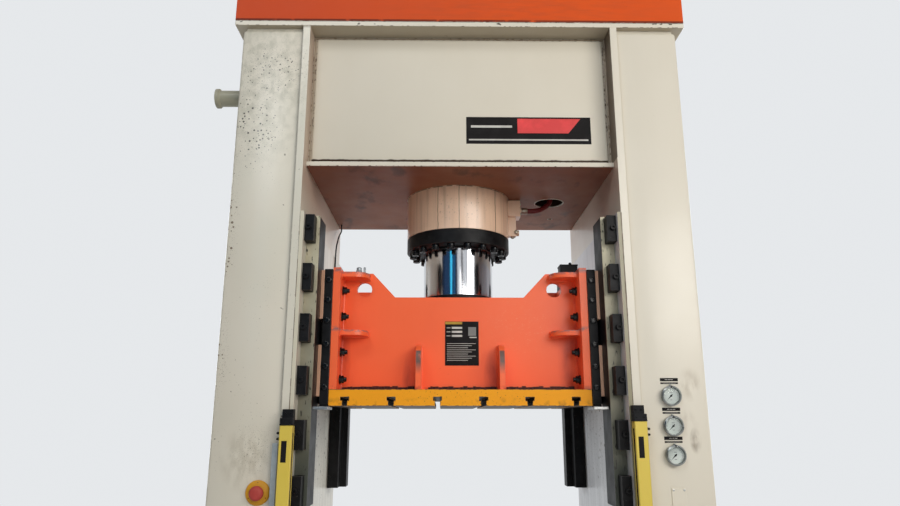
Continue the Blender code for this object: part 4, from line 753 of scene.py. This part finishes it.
for node, (look, edge, width) in DRESSED.items():
    dress(node, look, edge, width)


def plate(x, z, face, deep=0.0012):
    """The spans of a thin plate on a front face."""
    return (x, (face - deep, face + 0.0005), z)


# Details of the frame


def seams(mesh):
    """The dark, uneven joint between each column's inner plate and its packing plate."""
    for side in ENDS:
        for end in ENDS:
            z = 0.045
            while z < PACKING_TOP - 0.004:
                tall = min(dice.uniform(0.015, 0.06), PACKING_TOP - 0.002 - z)
                half = dice.uniform(0.0006, 0.0018) + (0.0008 if side > 0 else 0)
                x = (side * (INNER_FACE - half), side * (INNER_FACE + half))
                y = (end * (HALF_DEPTH - 0.001), end * (HALF_DEPTH + 0.0003))
                box(mesh, x, y, (z, z + tall - 0.0002))
                z += tall


def rail_screws(mesh):
    """A cap screw on each adjusting block, nearer to its outer side, and a slot under it."""
    for side in ENDS:
        for end in ENDS:
            for z in BLOCK_HEIGHTS[end]:
                x = side * (PACKING_FACE - 0.0165)
                cap_screw(mesh, (x, end * BLOCK_FACE, z + 0.002), (0, end, 0), 0.0125, 0.012)
                y = (end * (BLOCK_FACE - 0.002), end * (BLOCK_FACE + 0.002))
                box(mesh, (x - 0.0015, x + 0.0015), y, (z - 0.040, z - 0.034))


def rear_strips(mesh):
    """The khaki strips between the rear rails' adjusting blocks."""
    edges = [z + s * BLOCK_HALF for z in reversed(BLOCK_HEIGHTS[1]) for s in ENDS]
    edges = [RAIL_BOTTOM, *edges, REAR_RAIL_TOP]
    for side in ENDS:
        x = (side * (RAIL_FACE + 0.0003), side * (PACKING_FACE - 0.0006))
        for low, high in zip(edges[0::2], edges[1::2]):
            if high - low > 0.012:
                box(mesh, x, (0.4863, 0.492), (low + 0.0003, high - 0.0003))


def gland_screws(mesh):
    """Socket heads over the gland ring's plain ones."""
    for a, b in circle(GLAND_BOLTS):
        cap_screw(mesh, (GLAND_CIRCLE * a, GLAND_CIRCLE * b, GLAND_LOW), DOWN, GLAND_HEAD + 0.0006, 0.0252)


def port_fittings(mesh):
    """Hexagons and sleeves on the port block, its plug and the ends of the hose."""
    lathe(mesh, (0.3215, 0, PORT_Z), RIGHT, [(-0.001, 0.020, True), (0.010, 0.020, True), (0.011, 0.0185)])
    lathe(mesh, (0.3345, 0, PORT_Z), RIGHT, [(0, 0.0165), (0.026, 0.0165), (0.028, 0.0150)])
    for y in (-0.024, 0.024):
        for z in (2.617, 2.669):
            cap_screw(mesh, (0.322, y, z), RIGHT, 0.0065, 0.006)
    lathe(mesh, (0.300, -0.0195, 2.520), FRONT, [(0, 0.011, True), (0.009, 0.011, True), (0.010, 0.009)])
    lathe(mesh, (0.283, 0, 2.501), DOWN, [(0, 0.010), (0.006, 0.010), (0.010, 0.005)], 16)


def hole_rim(mesh):
    """The rim of the hole that the hose goes through."""
    x, y = HOSE_HOLE
    rows = []
    for radius, z in ((0.0757, 2.6895), (0.0757, 2.6925), (0.0725, 2.6925), (0.0725, 2.6885),
                      (0.0745, 2.6885)):
        rows.append([mesh.verts.new((x + radius * a, y + radius * b, z)) for a, b in circle(40)])
    for low, high in zip(rows, rows[1:] + rows[:1]):
        for i in range(len(low)):
            j = (i + 1) % len(low)
            mesh.faces.new((low[i], low[j], high[j], high[i]))


def gauge_parts(word, z):
    """Dial, ticks, lens and plug of a gauge, and the hub on its needle."""
    def at(depth, dx=0.0, dz=0.0):
        return Vector((GAUGE_X + dx, -PANEL_FACE - depth, z + dz))

    def turned(depth, rise, rings, sides):
        return lambda mesh: lathe(mesh, at(depth, 0, rise), FRONT, rings, sides)

    def ticks(mesh):
        for i in range(31):
            a = math.radians(225 - 9 * i)
            long = 0.0065 if i % 5 == 0 else 0.0035
            start = at(GAUGE_DIAL + 0.0003, 0.030 * math.cos(a), 0.030 * math.sin(a))
            inward = Vector((-math.cos(a), 0, -math.sin(a)))
            lathe(mesh, start, inward, [(0, 0.00045), (long, 0.00045)], 4)
        y = -PANEL_FACE - GAUGE_DIAL
        for rise, wide in ((0.012, 0.011), (-0.016, 0.008)):
            x = (GAUGE_X - wide / 2, GAUGE_X + wide / 2)
            box(mesh, x, (y - 0.0004, y), (z + rise - 0.0008, z + rise + 0.0008))

    lens = [(0, 0.0336), (0.0014, 0.0338), (0.0022, 0.030)]
    plug = [(0, 0.0052), (0.004, 0.0048), (0.0055, 0.003)]
    hub = [(0, 0.0042), (0.0012, 0.0042), (0.0020, 0.0030)]
    for part, look, body, fill in (
        ("gauge_dial", "dial", "frame", turned(GAUGE_DIAL, 0, [(-0.0004, 0.0326), (0.0002, 0.0326)], 48)),
        ("gauge_ticks", "print", "frame", ticks),
        ("gauge_lens", "glass", "frame", turned(0.0235, 0, lens, 48)),
        ("gauge_bung", "plastic", "frame", turned(0.0215, 0.0360, plug, 16)),
        ("needle_hub", "label", f"needle_{word}", turned(0.0134, 0, hub, 20)),
    ):
        make(f"{part}_{word}", look, body, fill)


def gauge_labels(mesh):
    """A black label and a thin strip over each gauge, both bare."""
    for z in GAUGE_HEIGHTS:
        for half, low, high in ((0.037, 0.0590, 0.0720), (0.036, 0.0478, 0.0545)):
            box(mesh, *plate((GAUGE_X - half, GAUGE_X + half), (z + low, z + high), -PANEL_FACE))


def label_lines(mesh):
    """The plain pale stripes on each of those labels."""
    y = (-PANEL_FACE - 0.0015, -PANEL_FACE - 0.001)
    for z in GAUGE_HEIGHTS:
        for dx, half, low, high in ((-0.012, 0.005, 0.0645, 0.0665), (0.0, 0.004, 0.0645, 0.0665),
                                    (0.011, 0.005, 0.0645, 0.0665), (0.0, 0.026, 0.0507, 0.0517)):
            box(mesh, (GAUGE_X + dx - half, GAUGE_X + dx + half), y, (z + low, z + high))


def cover_screws(mesh):
    for dx in ENDS:
        for dz in ENDS:
            foot = (COVER_AT[0] + dx * 0.0215, -PANEL_FACE - 0.0033, COVER_AT[1] + dz * 0.0520)
            lathe(mesh, foot, FRONT, [(0, 0.0042), (0.0012, 0.0042), (0.0022, 0.0026)], 16)


def estop_marks(mesh):
    """Three marks round the emergency stop's collar and the seam of its ring."""
    x, z = ESTOP_AT
    for a, b in circle(3, 0.75):
        foot = (x + 0.039 * a, -PANEL_FACE - 0.0098, z + 0.039 * b)
        lathe(mesh, foot, FRONT, [(0, 0.0032), (0.0012, 0.0022)], 3)
    for a, b in circle(24):
        foot = (x + 0.0235 * a, -PANEL_FACE - 0.0118, z + 0.0235 * b)
        lathe(mesh, foot, FRONT, [(0, 0.0011), (0.0008, 0.0008)], 6)


def curtain_lens(mesh):
    for side in ENDS:
        inner = side * (CURTAIN_AT[side] - CURTAIN_WIDTH / 2)
        x = (inner + side * 0.0008, inner + side * 0.0029)
        z = (CURTAIN_BOTTOM[side] + CURTAIN_CAP + 0.001, CURTAIN_TOP[side] - CURTAIN_CAP - 0.001)
        box(mesh, x, (CURTAIN_MIDDLE - 0.0105, CURTAIN_MIDDLE + 0.0105), z)


def curtain_label(mesh):
    for side in ENDS:
        middle, top = side * CURTAIN_AT[side] - 0.004, CURTAIN_TOP[side]
        x = (middle - 0.0105, middle + 0.0105)
        box(mesh, *plate(x, (top - 0.140, top - 0.059), -CURTAIN_FRONT, 0.0006))


def curtain_parts(mesh):
    """Glands, cap rims and screws of the light curtains."""
    gland = [(-0.001, 0.0062, True), (0.004, 0.0062, True), (0.004, 0.0050), (0.011, 0.0046), (0.013, 0.003)]
    for side in ENDS:
        middle = side * CURTAIN_AT[side]
        outer = middle + side * CURTAIN_WIDTH / 2
        for drop in (0.030, 0.052):
            lathe(mesh, (outer, CURTAIN_MIDDLE - 0.006, CURTAIN_TOP[side] - drop), (side, 0, 0), gland, 18)
        for tip, end in ((CURTAIN_TOP[side] + CURTAIN_CAP, 1), (CURTAIN_BOTTOM[side] - CURTAIN_CAP, -1)):
            for dx in (-0.015, 0.015):
                cap_screw(mesh, (middle + dx, -CURTAIN_FRONT, tip - end * 0.013), FRONT, 0.0034, 0.0026)
            for dx in (-0.011, 0.011):
                cap_screw(mesh, (middle + dx, CURTAIN_MIDDLE, tip + end * 0.017), FRONT, 0.0042, 0.0040)
            rim = tip - end * CURTAIN_CAP
            x = (middle - CURTAIN_WIDTH / 2 - 0.0008, middle + CURTAIN_WIDTH / 2 + 0.0008)
            box(mesh, x, (-CURTAIN_FRONT - 0.0008, -CURTAIN_REAR + 0.0008), (rim, rim + end * 0.0035))


def anchors(mesh):
    """Washers and chamfered nuts over the anchor bolts' plain ones."""
    nut = [(-0.001, 0.027), (0.003, 0.027), (0.003, 0.0225, True), (0.0185, 0.0225, True), (0.0208, 0.0185)]
    for side in ENDS:
        for x in ANCHOR_XS:
            for end in ENDS:
                lathe(mesh, (side * x, end * ANCHOR_Y, 0.040), UP, nut)
                stud = [(0, 0.0125), (0.020, 0.0125), (0.0225, 0.0105)]
                lathe(mesh, (side * x, end * ANCHOR_Y, 0.0600), UP, stud, 20)


def stub_rings(mesh):
    """A weld where the stub meets the column, and a ring against its flange."""
    for x, rings in ((-1.0100, [(-0.006, 0.0375), (-0.003, 0.0415), (0.0005, 0.0420)]),
                     (-1.1340, [(-0.001, 0.0452), (0.003, 0.0420), (0.007, 0.0378)])):
        lathe(mesh, (x, STUB_Y, STUB_Z), RIGHT, rings, 40)


# Details of the slide


def slide_welds(mesh):
    """Beads along the slide's plates, gussets and ribs, front and rear."""
    wall = SLIDE_HALF - SIDE_PLATE
    for end in ENDS:
        face = end * PLATE_FACE
        for side in ENDS:
            bead(mesh, (side * wall, face, SLIDE_BASE), (side * wall, face, SLIDE_TOP))
            for top in GUSSET_TOPS:
                for z in (top, top - GUSSET):
                    bead(mesh, (side * wall, face, z), (side * (wall - GUSSET_REACH), face, z))
                    bead(mesh, (side * wall, face, z), (side * wall, end * GUSSET_FRONT, z))
            for offset in ENDS:
                x = side * RIB_AT + offset * RIB / 2
                bead(mesh, (x, face, SLIDE_BASE), (x, face, SLIDE_BASE + 0.2))


def foot_weld(mesh):
    """The dark, chipped joint along the foot of the slide's front and rear plates."""
    wall = SLIDE_HALF - SIDE_PLATE
    for end in ENDS:
        x = -wall + 0.006
        while x < wall - 0.02:
            wide = dice.uniform(0.008, 0.030)
            tall = dice.uniform(0.0140, 0.0200)
            if min(abs(x - RIB_AT), abs(x + RIB_AT), abs(x + wide - RIB_AT), abs(x + wide + RIB_AT)) > 0.016:
                y = (end * (PLATE_FACE - 0.001), end * (PLATE_FACE + tall * 0.5))
                box(mesh, (x, x + wide - 0.0004), y, (SLIDE_BASE + 0.0002, SLIDE_BASE + tall))
            x += wide


def slide_screws(mesh):
    """Cap screws on the front shoes' ends, and hexagon bolts through the side plates."""
    middle = (SLIDE_HALF + SHOE_SIDE) / 2
    for side in ENDS:
        for rise in (0.068, 0.158, 0.254, 0.358, 0.450, 0.540):
            cap_screw(mesh, (side * middle, -SHOE_FRONT, SHOE_BOTTOM + rise), FRONT, 0.013, 0.008)
        for end in ENDS:
            for rise in (0.046, 0.167, 0.328, 0.447):
                foot = (side * (SLIDE_HALF - SIDE_PLATE), end * 0.310, SLIDE_BASE + rise)
                hex_bolt(mesh, foot, (-side, 0, 0), 0.017, 0.020)
                lathe(mesh, foot, (-side, 0, 0), [(0.0, 0.010), (0.030, 0.010), (0.032, 0.008)], 16)


def pair(x, y, z):
    """A fill that draws a box on each side of the middle plane."""
    return boxes(*(((side * x[0], side * x[1]), y, z) for side in ENDS))


def collar_bolts(mesh):
    for a, b in circle(COLLAR_BOLTS, 0.5):
        hex_bolt(mesh, (COLLAR_CIRCLE * a, COLLAR_CIRCLE * b, COLLAR_TOP), UP, 0.0075, 0.009, 1.15)


def junction_parts(mesh):
    """Lid, screws and cable gland of the junction box."""
    box(mesh, (0.4765, 0.5615), (-0.2565, -0.1835), (2.2905, BOX_TOP))
    for x in (0.484, 0.554):
        for y in (-0.249, -0.191):
            lathe(mesh, (x, y, BOX_TOP), UP, [(-0.001, 0.0035), (0.0014, 0.0035), (0.0022, 0.002)], 12)
    gland = [(-0.001, 0.009, True), (0.006, 0.009, True), (0.006, 0.0075), (0.015, 0.0070), (0.018, 0.004)]
    lathe(mesh, (0.532, -0.215, BOX_TOP), UP, gland)


def ear_fitting(mesh):
    """The lubrication fitting on the slide's left ear."""
    rings = [(-0.001, 0.0185), (0.004, 0.0185), (0.004, 0.0155, True), (0.018, 0.0155, True)]
    lathe(mesh, (-0.474, -0.238, EAR_TOP), UP, rings + [(0.018, 0.012), (0.030, 0.012), (0.033, 0.008)])
    lathe(mesh, (-0.447, -0.243, EAR_TOP), UP, [(-0.001, 0.0055), (0.030, 0.0055), (0.033, 0.003)], 12)


# Plates and labels, all without words; their stripes stand where there is lettering
CROWN_PRINT = (-CROWN_FRONT - 0.0016, -CROWN_FRONT - 0.0008)
SLIDE_PRINT = (-PLATE_FACE - 0.0017, -PLATE_FACE - 0.0009)


def crown_field(mesh):
    """The crown plate's red field, slanted at its right end."""
    outline = [(0.265, 2.865), (0.4995, 2.865), (0.558, 2.937), (0.265, 2.937)]
    for y in CROWN_PRINT:
        mesh.faces.new([mesh.verts.new((x, y, z)) for x, z in outline])
    verts = mesh.verts[:]
    for i in range(4):
        j = (i + 1) % 4
        mesh.faces.new((verts[i], verts[j], verts[4 + j], verts[4 + i]))


def nameplate_lines(mesh):
    """Plain bars and rules on the slide's nameplate."""
    for i in range(3):
        z = 1.9945 - 0.0185 * i
        box(mesh, (-0.036, 0.012), SLIDE_PRINT, (z - 0.0045, z + 0.0045))
        box(mesh, (-0.060, -0.042), SLIDE_PRINT, (z - 0.0015, z + 0.0015))
    for i in range(9):
        z = 1.922 - 0.0095 * i
        box(mesh, (-0.058, 0.074 - 0.018 * (i % 3)), SLIDE_PRINT, (z - 0.0010, z + 0.0010))
    box(mesh, (0.046, 0.078), SLIDE_PRINT, (1.948, 1.953))


# Details of the hydraulic unit


def tank_parts(mesh):
    """Lid screws, drain plug, level glass frame and return flange of the oil tank."""
    screw = [(-0.001, 0.008), (0.003, 0.007, True), (0.008, 0.007, True)]
    for i in range(6):
        for y in (TANK_Y[0] - 0.002, TANK_Y[1] + 0.002):
            lathe(mesh, (TANK_X[0] + 0.02 + i * 0.126, y, TANK_TOP), UP, screw)
    for i in range(7):
        for x in (TANK_X[0] - 0.002, TANK_X[1] + 0.002):
            lathe(mesh, (x, TANK_Y[0] + 0.06 + i * 0.117, TANK_TOP), UP, screw)
    plug = [(-0.001, 0.022), (0.006, 0.022), (0.006, 0.017, True), (0.022, 0.017, True)]
    lathe(mesh, (-0.700, TANK_Y[0], PLATFORM + 0.085), FRONT, plug)
    box(mesh, (-0.418, -0.382), (TANK_Y[0] - 0.010, TANK_Y[0] + 0.001), (PLATFORM + 0.150, PLATFORM + 0.350))
    flange = [(-0.001, 0.045), (0.012, 0.045), (0.012, 0.028), (0.030, 0.028), (0.034, 0.022)]
    lathe(mesh, (-0.360, 0.250, TANK_TOP), UP, flange, 32)


def breather_ribs(mesh):
    for a, b in circle(24):
        foot = (BREATHER[0] + 0.0385 * a, BREATHER[1] + 0.0385 * b, TANK_TOP + 0.008)
        lathe(mesh, foot, UP, [(0, 0.0022), (0.046, 0.0022)], 6)


def unit_screws(mesh):
    """Cap screws of the valves, manifold, motor, pump and terminal box."""
    for x in (-0.06, 0.06):
        for dx in (-0.032, 0.032):
            for y in (-0.075, 0.075):
                cap_screw(mesh, (x + dx, y, PLATFORM + 0.270), UP, 0.0065, 0.008)
    for x in (-0.100, 0.100):
        for y in (-0.108, 0.108):
            cap_screw(mesh, (x, y, PLATFORM + 0.180), UP, 0.008, 0.010)
    for x, radius, turns, head, height in ((0.406, 0.099, circle(8, 0.5), 0.0075, 0.010),
                                           (0.314, 0.0815, circle(6), 0.0060, 0.008)):
        for a, b in turns:
            cap_screw(mesh, (x, MOTOR_Y + radius * a, MOTOR_Z + radius * b), LEFT, head, height)
    for dx in (-0.042, 0.042):
        for dy in (-0.042, 0.042):
            cap_screw(mesh, (0.590 + dx, MOTOR_Y + dy, MOTOR_Z + 0.187), UP, 0.0045, 0.004)


def pipe_nuts(mesh):
    """Union nuts and flanges on the pipes' ends."""
    flange = [(0, 0.052), (0.014, 0.052), (0.014, 0.040), (0.026, 0.038)]
    lathe(mesh, (TANK_X[1], 0.300, MOTOR_Z - 0.060), RIGHT, flange, 32)
    flange = [(0, 0.044), (0.012, 0.044), (0.012, 0.036), (0.024, 0.034)]
    lathe(mesh, (PUMP_X, 0.156, MOTOR_Z), (0, 1, 0), flange, 32)
    lathe(mesh, (PUMP_X, 0.004, MOTOR_Z), FRONT, [(0, 0.032, True), (0.022, 0.032, True), (0.024, 0.026)])
    nut = [(0, 0.032, True), (0.024, 0.032, True), (0.026, 0.026)]
    lathe(mesh, (0.1205, -0.075, MOTOR_Z - 0.120), RIGHT, nut)


def motor_parts(mesh):
    """The motor's cable gland and the plug on its top."""
    gland = [(-0.001, 0.014, True), (0.010, 0.014, True), (0.010, 0.011), (0.026, 0.010)]
    lathe(mesh, (0.590, 0.028, MOTOR_Z + 0.155), FRONT, gland)
    lathe(mesh, (0.480, MOTOR_Y, MOTOR_Z + 0.130), UP, [(0, 0.012), (0.012, 0.012), (0.014, 0.009)], 16)


def motor_cowl(mesh):
    """Ribs over the fan cowl's air holes."""
    middle = Vector((MOTOR_END, MOTOR_Y, MOTOR_Z))
    for ring in (0.030, 0.055, 0.080, 0.105):
        points = [Vector((MOTOR_END, MOTOR_Y + ring * a, MOTOR_Z + ring * b)) for a, b in circle(36)]
        for start, stop in zip(points, points[1:] + points[:1]):
            lathe(mesh, start, stop - start, [(0, 0.0018), ((stop - start).length, 0.0018)], 6)
    for a, b in circle(8):
        out = Vector((0, a, b))
        lathe(mesh, middle + out * 0.02, out, [(0, 0.0020), (0.096, 0.0020)], 6)


for name, look, body, fill, edge in (
    ("column_seams", "seam", "frame", seams, 0),
    ("rail_screws", "black", "frame", rail_screws, 0),
    ("rear_strips", "khaki", "frame", rear_strips, 0.0006),
    ("gland_screws", "screw", "frame", gland_screws, 0),
    ("port_fittings", "fitting", "frame", port_fittings, 0),
    ("hose_hole_rim", "cream", "frame", hole_rim, 0),
    ("gauge_labels", "label", "frame", gauge_labels, 0.0003),
    ("gauge_label_lines", "print_pale", "frame", label_lines, 0),
    ("cover_screws", "steel", "frame", cover_screws, 0),
    ("estop_marks", "label", "frame", estop_marks, 0),
    ("curtain_lens", "lens", "frame", curtain_lens, 0),
    ("curtain_label", "label", "frame", curtain_label, 0.0002),
    ("curtain_parts", "plastic", "frame", curtain_parts, 0),
    ("cable_channel", "alloy", "frame",
     boxes(((-0.7510, -0.7285), (-0.5860, -0.5525), (0.784, 1.492))), 0.0015),
    ("anchor_nuts", "black", "frame", anchors, 0),
    ("stub_rings", "stub", "frame", stub_rings, 0),
    ("slide_welds", "orange", "slide", slide_welds, 0),
    ("slide_foot_weld", "weld", "slide", foot_weld, 0),
    ("slide_screws", "screw", "slide", slide_screws, 0),
    ("wiper_holders", "steel", "slide", pair((0.558, 0.6212), (-0.468, -0.350), (1.6240, 1.6355)), 0.001),
    ("wiper_spacers", "black", "slide", pair((0.5745, 0.6065), (-0.398, -0.352), (1.6357, 1.6495)), 0.001),
    ("collar_bolts", "screw", "slide", collar_bolts, 0),
    ("junction_parts", "plastic", "slide", junction_parts, 0),
    ("ear_fitting", "alloy", "slide", ear_fitting, 0),
    ("crown_plate", "label", "frame", boxes(plate((0.028, 0.604), (2.812, 2.945), -CROWN_FRONT)), 0.0004),
    ("crown_plate_field", "plate_red", "frame", crown_field, 0),
    ("crown_plate_lines", "print_pale", "frame",
     boxes(((0.040, 0.590), CROWN_PRINT, (2.8285, 2.8355)),
           ((0.050, 0.240), CROWN_PRINT, (2.892, 2.903))), 0),
    ("slide_nameplate", "label", "slide", boxes(plate((-0.067, 0.088), (1.822, 2.024), -PLATE_FACE)), 0.0004),
    ("slide_nameplate_lines", "print_pale", "slide", nameplate_lines, 0),
    ("slide_nameplate_square", "print_grey", "slide",
     boxes(((0.040, 0.076), SLIDE_PRINT, (1.958, 1.998))), 0),
    ("slide_nameplate_band", "print_ochre", "slide",
     boxes(((-0.066, 0.012), SLIDE_PRINT, (2.011, 2.0225))), 0),
    ("tank_parts", "steel", "frame", tank_parts, 0.0008),
    ("tank_glass", "glass", "frame",
     boxes(((-0.407, -0.393), (-0.4125, -0.409), (PLATFORM + 0.165, PLATFORM + 0.335))), 0),
    ("breather_ribs", "steel", "frame", breather_ribs, 0),
    ("unit_screws", "screw", "frame", unit_screws, 0),
    ("pipe_nuts", "fitting", "frame", pipe_nuts, 0),
    ("motor_parts", "plastic", "frame", motor_parts, 0),
    ("motor_cowl", "black", "frame", motor_cowl, 0),
):
    make(name, look, body, fill, edge)
for word, height in zip(GAUGE_WORDS, GAUGE_HEIGHTS):
    gauge_parts(word, height)
